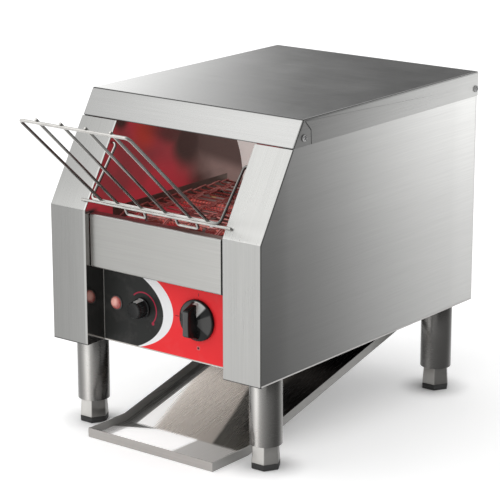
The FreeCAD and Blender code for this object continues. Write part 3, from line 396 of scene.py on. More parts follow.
def leg_steel(name, colour):
    """Polished tube with painted reflection streaks, very fine lines round it, a few handling marks, and painted shade
    on the rear legs.
    """
    finish = Finish(name, Metallic=1.0)
    rings = finish.noise(1.0, (30, 30, 1500), detail=2.0)
    marks = finish.noise(30.0, (1, 1, 0.3), detail=4.0, roughness=0.65)
    # Painted reflections: brightness by the direction the surface faces.
    stops = [(-180, 0.4), (-150, 0.25), (-118, 0.3), (-100, 0.6), (-86, 1.5), (-74, 0.45), (-50, 0.2), (-28, 0.12),
             (-8, 0.07), (8, 0.3), (25, 0.7), (70, 0.3), (100, 1.0), (125, 0.4), (150, 0.3), (180, 0.4)]
    base = painted_streaks(finish, colour, stops, 16.0)
    # Painted shade: the rear legs darker and duller.
    rear = finish.y.span(FRONT + 0.2, FRONT + 0.3)
    base = rear.blend(base, finish.blend(0.55, base * 0.7, (0.068, 0.066, 0.064)))
    base = marks.span(0.5, 0.8, 0.0, 0.2).blend(base, base * 0.7)
    finish.give(Base_Color=base, Roughness=rings.drift(0.22, 0.26) + marks.span(0.4, 0.7, 0.0, 0.06))
    return finish.bump(rings, 0.02, 0.0001)


def cast_metal(name, colour):
    """Foot metal: satin, with a faint cast texture, darker patches, painted reflection streaks round it and painted
    shade on the rear feet.
    """
    finish = Finish(name, Metallic=1.0)
    sand = finish.noise(420.0)
    # Painted reflections by the direction each face points, and painted shade on the rear feet.
    stops = [(-180, 0.5), (-125, 0.7), (-100, 1.3), (-72, 1.25), (-58, 0.45), (0, 0.3), (35, 0.5), (90, 0.9),
             (140, 0.5), (180, 0.5)]
    base = painted_streaks(finish, colour, stops, 0.0) * finish.y.span(FRONT + 0.2, FRONT + 0.3, 1.0, 0.6)
    base = finish.noise(35.0).span(0.4, 0.7, 0.0, 0.4).blend(base, base * 0.75)
    finish.give(Base_Color=base, Roughness=sand.drift(0.3, 0.46))
    return finish.bump(sand, 0.12, 0.0002)


def moulded(name, colour, roughness, coat=0.0, grain=500.0, strength=0.08):
    """Moulded plastic, ceramic, rubber or paint: fine texture, slight dust and gloss changes."""
    finish = Finish(name, Coat_Weight=coat, Coat_Roughness=0.08)
    fine = finish.noise(grain, detail=2.0)
    dust = finish.noise(30.0, detail=4.0, roughness=0.7)
    pale = tuple(min(1.0, c * 1.25 + 0.012) for c in colour)
    finish.give(
        Base_Color=dust.span(0.42, 0.72, 0.0, 0.6).blend(colour, pale),
        Roughness=fine.drift(roughness - 0.04, roughness + 0.04) + dust.span(0.4, 0.7, 0.0, 0.06),
    )
    return finish.bump(fine, strength, 0.0002)


def glossy_black(name, middle, ring, depth, painted_glints, face):
    """Glossy black plastic with painted highlights on a ring round a knob's axis, no further out than a depth.

    ring is the inner and outer radius in metres. Each painted glint is (start, end, brightness) in degrees.
    face is the painted sheen of what faces forward, past that depth.
    """
    finish = Finish(name, Specular_IOR_Level=0.12, Coat_Weight=0.12, Coat_Roughness=0.06)
    fine = finish.noise(260.0, detail=2.0)
    dust = finish.noise(30.0, detail=4.0, roughness=0.7)
    away = finish.near(middle.x, middle.z)
    stand = middle.y - finish.y
    inner, outer = ring
    soft = 0.0005
    band = away.span(inner - soft, inner + soft) * away.span(outer - soft, outer + soft, 1.0, 0.0)
    band *= stand.span(depth, depth + 0.0006, 1.0, 0.0)
    angle = finish.math("WRAP", finish.angle(finish.z - middle.z, finish.x - middle.x), 270.0, -90.0)
    base = dust.span(0.42, 0.72, 0.0, 0.6).blend((0.008, 0.009, 0.009), (0.02, 0.021, 0.021))
    # Painted sheen: faces that point forward, further out than the depth, take the face grey.
    front = finish.normal("y").span(-0.95, -0.85, 1.0, 0.0) * stand.span(depth, depth + 0.001)
    base = front.blend(base, face)
    # Painted highlights on the ring.
    for start, end, bright in painted_glints:
        lit = angle.span(start - 4.0, start + 4.0, smooth=True) * angle.fade(end - 4.0, end + 4.0)
        base = (lit * band).blend(base, (bright, bright, bright * 0.98))
    finish.give(Base_Color=base, Roughness=fine.drift(0.12, 0.18) + dust.span(0.4, 0.7, 0.0, 0.06))
    return finish.bump(fine, 0.03, 0.0002)


def glowing_quartz(name, glow, strength):
    """Milky quartz tube with the glowing coil's turns showing through."""
    finish = Finish(name, Roughness=0.25)
    heat = finish.waves(70.0, 0.4).span(0.2, 0.9, 0.35, 1.0, smooth=True)
    finish.give(
        Base_Color=heat.blend((0.5, 0.3, 0.26), (0.9, 0.5, 0.4)),
        Emission_Color=heat.blend(toned(glow, 0.5), glow),
        Emission_Strength=heat * strength,
    )
    return finish.material


def lamp_plastic(name, colour, middle):
    """Translucent lens with a ribbed inside, paler at its middle than at its rim, with that pale middle moved a little
    up and left as a painted highlight.
    """
    finish = Finish(name, Transmission_Weight=0.35, IOR=1.49, Coat_Weight=0.6)
    ribs = finish.waves(260.0)
    cloud = finish.noise(90.0, detail=2.0)
    # The pale middle sits a little up and left: a painted highlight.
    away = finish.near(middle.x - 0.001, middle.z + 0.0015)
    lens = away.span(0.0025, 0.0072, smooth=True).blend(colour, (0.42, 0.07, 0.06))
    lens = ribs.span(0.2, 0.8, 0.0, 0.25).blend(lens, lens * 0.6)
    finish.give(Base_Color=lens, Roughness=cloud.drift(0.12, 0.25))
    finish.give(Emission_Color=lens, Emission_Strength=cloud.drift(0.25, 0.36))
    return finish.material


def printed_film(name, dark, red, white):
    """The control film: a dark round field, a white crescent and a red field, with plain dial marks."""
    finish = Finish(name, Specular_IOR_Level=0.14)
    edge = 0.00035
    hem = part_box("control_overlay")[0][2] + 0.0007
    x, z = finish.x, finish.z

    def disc(cx, cz, r):
        return finish.near(cx * MM, cz * MM).fade(r * MM - edge, r * MM + edge)

    def oval(cx, cz, wide, high):
        across, up = (x - cx * MM) / (wide * MM), (z - cz * MM) / (high * MM)
        return finish.math("SQRT", across * across + up * up).fade(0.996, 1.004)

    def arc(cx, cz, r, half, start, end):
        away = abs(finish.near(cx * MM, cz * MM) - r * MM)
        angle = finish.angle(z - cz * MM, x - cx * MM)
        return away.span(half * MM - edge / 2, half * MM + edge / 2, 1.0, 0.0) * (angle > start) * (angle < end)

    def bar(cx, cz, half_w, half_h):
        return (abs(x - cx * MM) < half_w * MM) * (abs(z - cz * MM) < half_h * MM)

    layers = (
        (oval(-83.6, 149.0, 88.0, 51.0), white),
        (oval(-101.5, 145.5, 92.0, 52.0), dark),
        (arc(-38.15, 147.6, 18.9, 0.75, -44.0, 134.0) | disc(-24.3, 133.4, 1.9), (0.36, 0.02, 0.05)),
        (bar(39.05, 118.1, 2.1, 2.1), (0.6, 0.16, 0.16)),
        (bar(10.0, 149.1, 2.4, 0.4) | bar(40.1, 177.9, 0.4, 1.6) | bar(39.05, 118.1, 1.2, 1.2), (0.06, 0.01, 0.012)),
        (z.span(hem, hem + 0.0002, 1.0, 0.0), (0.5, 0.46, 0.42)),
    )
    colour = red
    for shape, ink in layers:
        colour = shape.blend(colour, ink)
    wear = finish.noise(40.0, detail=4.0, roughness=0.65)
    worn = wear.span(0.5, 0.8, 0.0, 0.06).blend(colour, (0.5, 0.45, 0.45))
    finish.give(Base_Color=worn, Roughness=wear.drift(0.3, 0.44))
    return finish.bump(finish.noise(700.0, detail=2.0), 0.05, 0.0001)


def chute_steel(name):
    """Brushed chute: a pan with a pale part that glows a little and a grey part, and a ramp with a pale stripe that
    darkens towards the back, all painted reflection, painted glow and painted shade.
    """
    finish = Finish(name)
    x, back = finish.x, finish.y - FRONT
    lines = finish.noise(1.0, (900, 14, 5), detail=2.0)
    smudge = finish.noise(7.0, (1, 0.5, 1), roughness=0.55, distortion=0.5)
    wander = smudge.drift(-0.003, 0.003)
    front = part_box("toast_chute")[0][1] - FRONT

    flat = back.fade(0.05, 0.056)
    # Painted reflection: the pan's pale left part and grey right part.
    clear = (x + wander).fade(0.014, 0.021)
    # Painted shadows: a dark corner by the left flange and a dark band along the lip's edge.
    corner = (back - x * 0.48).span(0.07, 0.075, smooth=True)
    lip = back.span(front + 0.0015, front + 0.0035, 1.0, 0.0)
    pan = clear.blend((0.62, 0.6, 0.58), (1.0, 0.985, 0.98))
    pan = lip.blend(corner.blend(pan, (0.18, 0.176, 0.168)), (0.3, 0.29, 0.28))

    # Painted reflection: a pale stripe along the ramp by the left flange.
    reflection_stripe = (x + back * 0.267).fade(-0.037, -0.026)
    # Painted shade and dark reflection on the ramp's right and back.
    shaded = (x + back * 0.34 + wander).span(0.054, 0.06, smooth=True)
    # Painted light and shade along the ramp: lighter partway up, then dark under the body.
    depth = [(0.0, 0.86), (0.06, 0.88), (0.12, 1.08), (0.17, 1.3), (0.2, 0.4), (0.24, 0.04), (0.42, 0.02)]
    # Painted shadow along the left flange.
    rim = x.fade(-0.0725, -0.0705)
    ramp = reflection_stripe.blend((0.8, 0.73, 0.67), (1.0, 0.985, 0.97))
    ramp = shaded.blend(ramp, (0.15, 0.143, 0.128)) * (back + x.span(0.03, 0.05, 0.0, 0.09, smooth=True)).level(depth)
    ramp = rim.blend(ramp, (0.16, 0.157, 0.15))

    # Painted glow: the pale places also give off a little light.
    pale = flat * clear + (1.0 - flat) * reflection_stripe * 0.8
    pale *= 1.0 - corner * flat
    pale *= back.span(0.17, 0.22, 1.0, 0.0)
    pale *= 1.0 - (rim | lip)
    pale *= finish.normal("z") > 0.5
    matt = flat * 0.5 | rim * 0.7 | pale
    finish.give(
        Base_Color=flat.blend(ramp, pan) * (lines.span(0.25, 0.75, 0.96, 1.03) * smudge.drift(0.95, 1.03)),
        Metallic=matt.span(0.0, 1.0, 1.0, 0.1),
        Emission_Color=(1.0, 0.985, 0.98),
        Emission_Strength=pale * 0.32,
        Roughness=lines.span(0.25, 0.75, 0.24, 0.3) + smudge.drift(-0.02, 0.04),
    )
    return finish.bump(lines, 0.02, 0.0001)


def dress(material, *nodes):
    """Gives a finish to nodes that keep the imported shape."""
    for name in nodes:
        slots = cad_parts[name].data.materials
        for i in range(len(slots)):
            slots[i] = material
        if not slots:
            slots.append(material)


# Shapes


def finished(name, bm, material, body, slot, *nodes, sharp=35.0):
    """Turns a bmesh into a piece that rides on a body and stands for its nodes."""
    bmesh.ops.remove_doubles(bm, verts=bm.verts, dist=1e-6)
    bmesh.ops.recalc_face_normals(bm, faces=bm.faces)
    mesh = bpy.data.meshes.new(name)
    bm.to_mesh(mesh)
    bm.free()
    if not mesh.polygons:
        raise RuntimeError(f"{name} has no faces")
    mesh.shade_smooth()
    mesh.set_sharp_from_angle(angle=math.radians(sharp))
    mesh.materials.append(material)
    piece = bpy.data.objects.new(name, mesh)
    bpy.context.scene.collection.objects.link(piece)
    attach(piece, body)
    if nodes:
        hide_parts(*nodes)
    return piece


def centre(node):
    """The middle of a CAD node's box."""
    low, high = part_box(node)
    return (low + high) / 2


def turned(bm, outline, start, axis, steps=64, closed=False):
    """Spins an outline of (along, out) millimetres about an axis through a point."""
    verts = [bm.verts.new((out * MM, 0, along * MM)) for along, out in outline]
    pairs = list(zip(verts, verts[1:]))
    if closed:
        pairs.append((verts[-1], verts[0]))
    edges = [bm.edges.new(pair) for pair in pairs]
    before = set(bm.verts) - set(verts)
    bmesh.ops.spin(bm, geom=verts + edges, cent=(0, 0, 0), axis=(0, 0, 1), angle=math.tau, steps=steps,
                   use_merge=True, use_duplicate=False)
    made = [v for v in bm.verts if v not in before]
    turn = Vector(axis).to_track_quat("Z", "Y").to_matrix().to_4x4()
    bmesh.ops.transform(bm, matrix=Matrix.Translation(start) @ turn, verts=made)
    bmesh.ops.remove_doubles(bm, verts=made, dist=1e-6)
    return bm


def copies(bm, one, *moves):
    """Adds a copy of another bmesh under each of the moves, and lets that bmesh go."""
    mesh = bpy.data.meshes.new("copied")
    one.to_mesh(mesh)
    one.free()
    for move in moves:
        before = set(bm.verts)
        bm.from_mesh(mesh)
        bmesh.ops.transform(bm, matrix=move, verts=[v for v in bm.verts if v not in before])
    bpy.data.meshes.remove(mesh)


def bent_line(points, bend, steps=5):
    """The points of a line with its corners rounded, in metres."""
    line = [points[0]]
    for before, here, after in zip(points, points[1:], points[2:]):
        back, on = before - here, after - here
        half = back.angle(on) / 2
        reach = min(bend * MM / math.tan(half), 0.48 * back.length, 0.48 * on.length)
        radius = reach * math.tan(half)
        back.normalize()
        on.normalize()
        middle = here + (back + on).normalized() * (radius / math.sin(half))
        arm = here + back * reach - middle
        axis = back.cross(on)
        for k in range(steps + 1):
            line.append(middle + Matrix.Rotation(-k / steps * (math.pi - 2 * half), 3, axis) @ arm)
    line.append(points[-1])
    return line


def bevelled(bm, edges, offset, segments):
    """Rounds edges by an offset in metres."""
    bmesh.ops.bevel(bm, geom=edges, offset=offset, offset_type="OFFSET", segments=segments, profile=0.5,
                    affect="EDGES", material=-1)


def softened(bm, offset, segments, chosen):
    """Rounds the edges that a test chooses, by an offset in millimetres."""
    bevelled(bm, [e for e in bm.edges if chosen(e)], offset * MM, segments)


def folded(edge, degrees):
    """Whether two faces meet in an edge at more than an angle."""
    return edge.is_manifold and edge.calc_face_angle(0) > math.radians(degrees)


def wire(bm, line, radius, sides=14, round_ends=True):
    """Sweeps a ring along a line by extruding it from point to point."""
    radius *= MM
    runs = [(b - a).normalized() for a, b in zip(line, line[1:])]
    facing = [runs[0]] + [(a + b).normalized() for a, b in zip(runs, runs[1:])] + [runs[-1]]
    place = Matrix.Translation(line[0]) @ runs[0].to_track_quat("Z", "Y").to_matrix().to_4x4()
    ring = bmesh.ops.create_circle(bm, cap_ends=True, segments=sides, radius=radius, matrix=place)["verts"]
    edges = list({e for v in ring for e in v.link_edges if all(w in ring for w in e.verts)})
    ends = list(edges)
    for k in range(1, len(line)):
        grown = bmesh.ops.extrude_edge_only(bm, edges=edges)["geom"]
        ring = [g for g in grown if isinstance(g, bmesh.types.BMVert)]
        edges = [g for g in grown if isinstance(g, bmesh.types.BMEdge) and all(v in ring for v in g.verts)]
        bmesh.ops.translate(bm, verts=ring, vec=line[k] - line[k - 1])
        turn = facing[k - 1].rotation_difference(facing[k]).to_matrix()
        bmesh.ops.rotate(bm, verts=ring, cent=line[k], matrix=turn)
    bmesh.ops.edgeloop_fill(bm, edges=edges)
    if round_ends:
        bevelled(bm, ends + edges, radius * 0.4, 2)


def sheet(name, node, material, body="casing", slot="brushed_casing", radius=0.3):
    """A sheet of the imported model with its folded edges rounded, so that they catch the light."""
    bm = bmesh.new()
    bm.from_mesh(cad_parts[node].data)
    bmesh.ops.remove_doubles(bm, verts=bm.verts, dist=2e-6)
    bmesh.ops.dissolve_limit(bm, angle_limit=math.radians(0.3), verts=bm.verts, edges=bm.edges,
                             use_dissolve_boundaries=False)
    softened(bm, radius, 2, lambda e: folded(e, 20))
    piece = finished(name, bm, material, body, slot, node)
    points = piece.data.vertices
    for face in piece.data.polygons:
        rim = sum((points[a].co - points[b].co).length for a, b in face.edge_keys)
        if 2 * face.area / rim > 0.3 * MM:
            face.use_smooth = False
    return piece


# Sizes and colours a user may change


COLOUR = {"subtype": "COLOR", "size": 3, "min": 0, "max": 1}


class ToasterColours(bpy.types.PropertyGroup):
    casing: FloatVectorProperty(
        name="Casing steel", description="Colour of the outer sheets", default=(0.6, 0.6, 0.59), **COLOUR)
    pillar: FloatVectorProperty(
        name="Pillar steel", description="Colour of the front pillars", default=(0.46, 0.46, 0.448), **COLOUR)
    front: FloatVectorProperty(
        name="Front sheet", description="Colour of the sheet under the window", default=(0.48, 0.477, 0.46), **COLOUR)
    chamber: FloatVectorProperty(
        name="Chamber sheet", description="Colour of the chamber before its heat tint", default=(0.2, 0.15, 0.14),
        **COLOUR)
    glow: FloatVectorProperty(
        name="Heater glow", description="Colour of the hot heaters", default=(0.95, 0.055, 0.06), **COLOUR)
    film_red: FloatVectorProperty(
        name="Film red", description="Red field of the control film", default=(0.84, 0.031, 0.037), **COLOUR)
    film_dark: FloatVectorProperty(
        name="Film dark", description="Dark field of the control film", default=(0.02, 0.021, 0.02), **COLOUR)
    film_white: FloatVectorProperty(
        name="Film white", description="Crescent of the control film", default=(0.85, 0.85, 0.86), **COLOUR)
    lamp: FloatVectorProperty(
        name="Lamp", description="Colour of the lamp's lens", default=(0.85, 0.42, 0.36), **COLOUR)
    floor: FloatVectorProperty(
        name="Floor", description="Colour of the studio floor", default=(0.93, 0.93, 0.93), **COLOUR)


class RackSizes(bpy.types.PropertyGroup):
    wire: FloatProperty(
        name="Frame wire", description="Radius of the frame's wire in millimetres", default=1.75, min=0.5, max=4)
    inner: FloatProperty(
        name="Inner wire", description="Radius of the inner wires in millimetres", default=1.6, min=0.5, max=4)
    bend: FloatProperty(
        name="Bend", description="Bend radius of the frame's corners in millimetres", default=5.0, min=2, max=20)
    sides: IntProperty(name="Facets", description="Facets round a wire", default=16, min=8, max=32)


class BeltSizes(bpy.types.PropertyGroup):
    wire: FloatProperty(
        name="Belt wire", description="Radius of the belt's wire in millimetres", default=0.95, min=0.4, max=2)
    pitch: FloatProperty(
        name="Pitch", description="From strand to strand in millimetres", default=12.7, min=5, max=30)
    spans: IntProperty(name="Straight spans", description="Spans between the two axles", default=14, min=4, max=40)
    teeth: IntProperty(name="Teeth", description="Teeth of a sprocket", default=8, min=4, max=20)


class KnobSizes(bpy.types.PropertyGroup):
    skirt: FloatProperty(
        name="Switch knob", description="Radius of the switch knob's skirt in millimetres", default=23.0, min=10,
        max=40)
    grip: FloatProperty(
        name="Grip", description="Height of the grip above the panel in millimetres", default=21.0, min=10, max=30)
    speed: FloatProperty(
        name="Speed knob", description="Radius of the speed knob in millimetres", default=11.5, min=5, max=20)
    flutes: IntProperty(name="Flutes", description="Flutes round the speed knob", default=20, min=6, max=40)


class LegSizes(bpy.types.PropertyGroup):
    tube: FloatProperty(name="Leg tube", description="Radius of a leg in millimetres", default=18.0, min=8, max=30)
    wall: FloatProperty(name="Wall", description="Thickness of the tube in millimetres", default=1.5, min=0.8, max=4)
    facets: IntProperty(name="Facets", description="Facets round a leg", default=72, min=24, max=128)


def settings():
    """The sizes and colours in use."""
    return bpy.context.scene.toaster


class ToasterSettings(bpy.types.PropertyGroup):
    colours: PointerProperty(name="Colours", description="Colours of the finishes", type=ToasterColours)
    rack: PointerProperty(name="Rack", description="Sizes of the feed rack", type=RackSizes)
    belt: PointerProperty(name="Belt", description="Sizes of the wire belt", type=BeltSizes)
    knobs: PointerProperty(name="Knobs", description="Sizes of the knobs", type=KnobSizes)
    legs: PointerProperty(name="Legs", description="Sizes of the legs", type=LegSizes)


# Operators


class TOASTER_OT_stage(bpy.types.Operator):
    """Pale floor, soft light and the camera"""

    bl_idname = "toaster.stage"
    bl_label = "Stage"

    def floor(self):
        """Wide paper floor. It shows white to the eye and to mirrors, apart from a painted contact shadow close round
        the feet.
        """
        bm = bmesh.new()
        bmesh.ops.create_grid(bm, x_segments=8, y_segments=8, size=14.0)
        bmesh.ops.translate(bm, verts=bm.verts, vec=(0, 0, -0.0002))
        mesh = bpy.data.meshes.new("studio_floor")
        bm.to_mesh(mesh)
        bm.free()
        floor = bpy.data.objects.new("studio_floor", mesh)
        bpy.context.scene.collection.objects.link(floor)
        finish = Finish("floor_paper", Roughness=0.9, Specular_IOR_Level=0.1)
        colour = tuple(settings().colours.floor)
        paper = finish.noise(6.0, detail=4.0).drift(0.0, 1.0).blend(colour, toned(colour, 0.985))
        rays = finish.node("ShaderNodeLightPath", {}).outputs
        kinds = ("Is Camera Ray", "Is Glossy Ray", "Is Transmission Ray")
        camera, glossy, clear = (Value(finish, rays[kind]) for kind in kinds)
        lift_with_foot_shadow = camera | glossy | clear
        # Painted contact shadow: the white lift fades close round each foot.
        for corner in CORNERS:
            foot = centre("foot_pad_" + corner)
            lift_with_foot_shadow *= finish.near(foot.x, 0.0, foot.y).span(0.014, 0.05, smooth=True)
        finish.give(Base_Color=paper, Emission_Color=(1.0, 1.0, 1.0), Emission_Strength=lift_with_foot_shadow * 0.27)
        mesh.materials.append(finish.material)

    def light(self):
        """A world that is bright on one side and above, and a large soft box."""
        world = bpy.data.worlds.new("studio_light")
        bpy.context.scene.world = world
        sky = Pattern(world, "Generated")
        bright_side = {0: sky.where, 1: (-0.7716, -0.6361, 0.0)}
        side = sky.result("ShaderNodeVectorMath", bright_side, "Value", operation="DOT_PRODUCT")
        stops = [(-1.0, 0.5), (-0.4, 0.4), (-0.2, 0.17), (-0.1, 0.18), (-0.045, 0.26), (0.0, 0.8), (0.05, 1.4),
                 (0.3, 1.05), (1.0, 1.0)]
        round_about = side.span(-1.0, 1.0).steps([((place + 1) / 2, level) for place, level in stops])
        shade = sky.z.span(0.25, 0.37, smooth=True).blend(round_about, 0.95)
        camera = sky.result("ShaderNodeLightPath", {}, "Is Camera Ray")
        light = sky.result("ShaderNodeBackground", {"Color": camera.blend(shade, 0.98), "Strength": 1.0})
        sky.node("ShaderNodeOutputWorld", {"Surface": light})

        data = bpy.data.lights.new("soft_box", "AREA")
        data.shape = "SQUARE"
        data.size = SOFT_BOX_SIDE
        data.energy = SOFT_BOX_WATTS
        lamp = bpy.data.objects.new("soft_box", data)
        bpy.context.scene.collection.objects.link(lamp)
        ahead = Vector(SOFT_BOX_AIM) - Vector(SOFT_BOX_PLACE)
        lamp.location = SOFT_BOX_PLACE
        lamp.rotation_euler = ahead.to_track_quat("-Z", "Y").to_euler()

    def camera(self):
        """A long lens at the corner of the toaster, a little above it."""
        data = bpy.data.cameras.new("camera")
        data.sensor_width = 36.0
        data.sensor_fit = "HORIZONTAL"
        data.lens = LENS
        data.clip_end = 60.0
        camera = bpy.data.objects.new("camera", data)
        bpy.context.scene.collection.objects.link(camera)
        ahead = Vector(CAMERA_AHEAD).normalized()
        tilt = Matrix.Rotation(math.radians(CAMERA_ROLL), 3, ahead)
        right = tilt @ ahead.cross(Vector((0, 0, 1))).normalized()
        turn = Matrix((right, right.cross(ahead), -ahead)).transposed().to_4x4()
        camera.matrix_world = Matrix.Translation(CAMERA_PLACE) @ turn
        bpy.context.scene.camera = camera
        bpy.context.scene.view_settings.view_transform = "Standard"

    def execute(self, context):
        self.floor()
        self.light()
        self.camera()
        return {"FINISHED"}


class TOASTER_OT_casing(bpy.types.Operator):
    """Brushed finishes of the casing's sheets, with painted reflections and painted shade lines"""

    bl_idname = "toaster.casing"
    bl_label = "Casing"

    def cover(self, casing, edge):
        """Top cover, with its own finishes on the flat, on the header and on the side flanges, each with painted
        reflection across it, and painted dark lines of shade at the flat's bend and the header's folds and right edge.
        """
        # Painted reflection on the flat: lighter at the front left, darker towards the right and the back; a painted
        # dark line of shade at the bend.
        across = [(-HALF_WIDTH, 1.12), (-0.08, 0.86), (0.0, 0.72), (0.085, 0.6), (HALF_WIDTH, 0.58)]
        along = deep((0.0, 1.1), (0.2, 0.98), (0.41, 0.88))
        bend = [("y", FRONT + SLOPE_RUN + 0.0012, FRONT + SLOPE_RUN + 0.0005)]
        flat = brushed_steel("cover_steel", casing, "x", 0.17, [("x", across), ("y", along)], None, bend)
        # Painted reflection on the header: darker at the left; painted dark lines of shade at its top fold, its lower
        # edge and its right-hand edge.
        across = [(-HALF_WIDTH, 0.45), (-0.05, 0.57), (0.06, 0.69), (HALF_WIDTH, 0.71)]
        fold_shadows = [("z", TOP - 0.0013, TOP - 0.0007), ("z", HEADER_EDGE + 0.0011, HEADER_EDGE + 0.0005)]
        header = brushed_steel("header_steel", casing, "x", 0.26, [("x", across)], edge, fold_shadows)
        # Painted reflection on the side flanges: dark at the front, light at the back.
        along = deep((0.0, 0.18), (0.1, 0.28), (0.22, 0.58), (0.36, 0.95), (0.41, 1.0))
        flange = brushed_steel("flange_steel", casing, "y", 0.3, [("y", along)])
        top = sheet("cover_sheet", "top_cover", flat)
        for material in (header, flange):
            top.data.materials.append(material)
        for face in top.data.polygons:
            if abs(face.normal.x) > 0.8:
                face.material_index = 2
            elif face.center.y < FRONT + SLOPE_RUN - 0.0002 or face.normal.z < 0.9:
                face.material_index = 1

    def posts(self, pillar, edge, foot):
        """Front pillars, with their own finishes on the upright, on the slope and on the inner return faces: painted
        reflection across them, a painted highlight on the left post's inner edge, painted dark lines of shade, and a
        near-black copy of the steel on the inner return faces as painted shade.
        """
        # Painted reflection: the left post darker than the right; a painted highlight on the left post's inner edge;
        # painted dark lines of shade at the right-hand edge and the foot.
        across = [(-0.145, 0.55), (-0.1, 0.61), (0.0, 0.84), (0.1, 0.91), (0.145, 0.91)]
        upright = brushed_steel("pillar_steel", pillar, "z", 0.3, [("x", across)], edge, foot, -0.0985)
        across = [(-0.145, 0.57), (-0.1, 0.62), (0.0, 0.85), (0.1, 0.92), (0.145, 0.92)]
        # Painted reflection on the slope: lighter just above the bend.
        rise = [(BEND_HEIGHT, 1.24), (BEND_HEIGHT + 0.02, 1.08), (BEND_HEIGHT + 0.04, 1.0), (HEADER_EDGE, 1.0)]
        painted_tones = [("x", across), ("z", rise)]
        slope = brushed_steel("slope_steel", pillar, "slope", 0.28, painted_tones, edge, (), -0.0975)
        # The inner return faces take a near-black copy of the steel: painted shade.
        shaded_returns = brushed_steel("return_steel", (0.3, 0.29, 0.28), "z", 0.09)
        for side in ("right", "left"):
            post = sheet(side + "_post", side + "_pillar", upright)
            post.data.materials.append(slope)
            post.data.materials.append(shaded_returns)
            for face in post.data.polygons:
                if face.normal.z > 0.3:
                    face.material_index = 1
                elif abs(face.normal.x) > 0.8 and abs(face.center.x) < 0.1:
                    face.material_index = 2

    def execute(self, context):
        colours = settings().colours
        casing = tuple(colours.casing)
        # Painted dark lines of shade: at the right-hand folded edge, and along the bottom edge where the sheets meet
        # the legs.
        edge = HALF_WIDTH - 0.0012
        foot = [("z", LEG_TOP + 0.0013, LEG_TOP + 0.0008)]
        self.cover(casing, edge)
        # Painted reflection on the side panels: dark at the front and the bottom, light at the back and the top.
        along = deep((0.0, 0.215), (0.05, 0.235), (0.197, 0.68), (0.36, 1.3), (0.41, 1.35))
        rise = [(0.1, 0.61), (0.2, 0.72), (0.27, 0.88), (0.34, 1.1), (0.374, 1.16)]
        sides = brushed_steel("side_steel", casing, "y", 0.34, [("y", along), ("z", rise)], None, foot)
        for side in ("right", "left"):
            sheet(side + "_side_sheet", side + "_side_panel", sides)
        self.posts(tuple(colours.pillar), edge, foot)
        # Painted reflection across the front sheet, darker at the left, and a painted shadow of the recess along its
        # right edge.
        across = [(-0.1, 0.68), (-0.05, 0.75), (0.0, 0.775), (0.08, 0.9), (0.1, 0.92)]
        recess_shadow = [("x", 0.0868, 0.0874), ("x", 0.0870, 0.0876)]
        front = brushed_steel("front_steel", tuple(colours.front), "x", 0.32, [("x", across)], None, recess_shadow)
        sheet("front_sheet_panel", "front_panel", front, slot="front_sheet")
        recess = brushed_steel("recess_steel", casing, "x", 0.3)
        sheet("control_recess", "control_panel", recess, radius=0.2)
        dress(recess, "rear_panel")
        plain = brushed_steel("base_steel", (0.5, 0.49, 0.48), "y", 0.45)
        dress(plain, "base_chassis", "motor_bracket", "chute_brackets", "chute_bar")
        return {"FINISHED"}


class TOASTER_OT_chute(bpy.types.Operator):
    """Brushed toast chute, with painted reflections and a faint painted glow on its pan, and painted shade darkening
    its ramp
    """

    bl_idname = "toaster.chute"
    bl_label = "Toast chute"

    def execute(self, context):
        chute = sheet("chute_sheet", "toast_chute", chute_steel("chute_steel"), "chute")
        # The flanges take a darker, less metallic copy of the steel, slightly darker on the left: painted shade.
        sides = [("x", [(-0.1, 0.5), (0.0, 0.5), (0.04, 0.56), (0.1, 0.56)])]
        flange = brushed_steel("chute_flange_steel", (0.6, 0.59, 0.57), "y", 0.3, sides, metal=0.35)
        chute.data.materials.append(flange)
        # The lip's front faces take a darker copy of the steel: painted shade.
        chute.data.materials.append(brushed_steel("chute_lip_steel", (0.43, 0.412, 0.395), "x", 0.34))
        for face in chute.data.polygons:
            if abs(face.normal.x) > 0.8:
                face.material_index = 1
            elif face.normal.y < -0.5:
                face.material_index = 2
        return {"FINISHED"}


class TOASTER_OT_film(bpy.types.Operator):
    """Printed film on the control panel"""

    bl_idname = "toaster.film"
    bl_label = "Control film"

    def execute(self, context):
        colours = settings().colours
        inks = (tuple(ink) for ink in (colours.film_dark, colours.film_red, colours.film_white))
        dress(printed_film("control_film", *inks), "control_overlay")
        return {"FINISHED"}


class TOASTER_OT_chamber(bpy.types.Operator):
    """Heat-tinted finishes inside the toasting chamber, with painted red glow and painted shadows on the side walls and
    a painted glow on the curved back
    """

    bl_idname = "toaster.chamber"
    bl_label = "Toasting chamber"

    def execute(self, context):
        walls = chamber_steel("wall_steel", tuple(settings().colours.chamber), True)
        dress(walls, "left_chamber_wall", "right_chamber_wall")
        hood = chamber_steel("hood_steel", (0.2, 0.17, 0.15), False)
        dress(hood, "chamber_ceiling", "chamber_floor", "belt_rails")
        dress(deflector_steel("deflector_steel"), "rear_deflector")
        return {"FINISHED"}


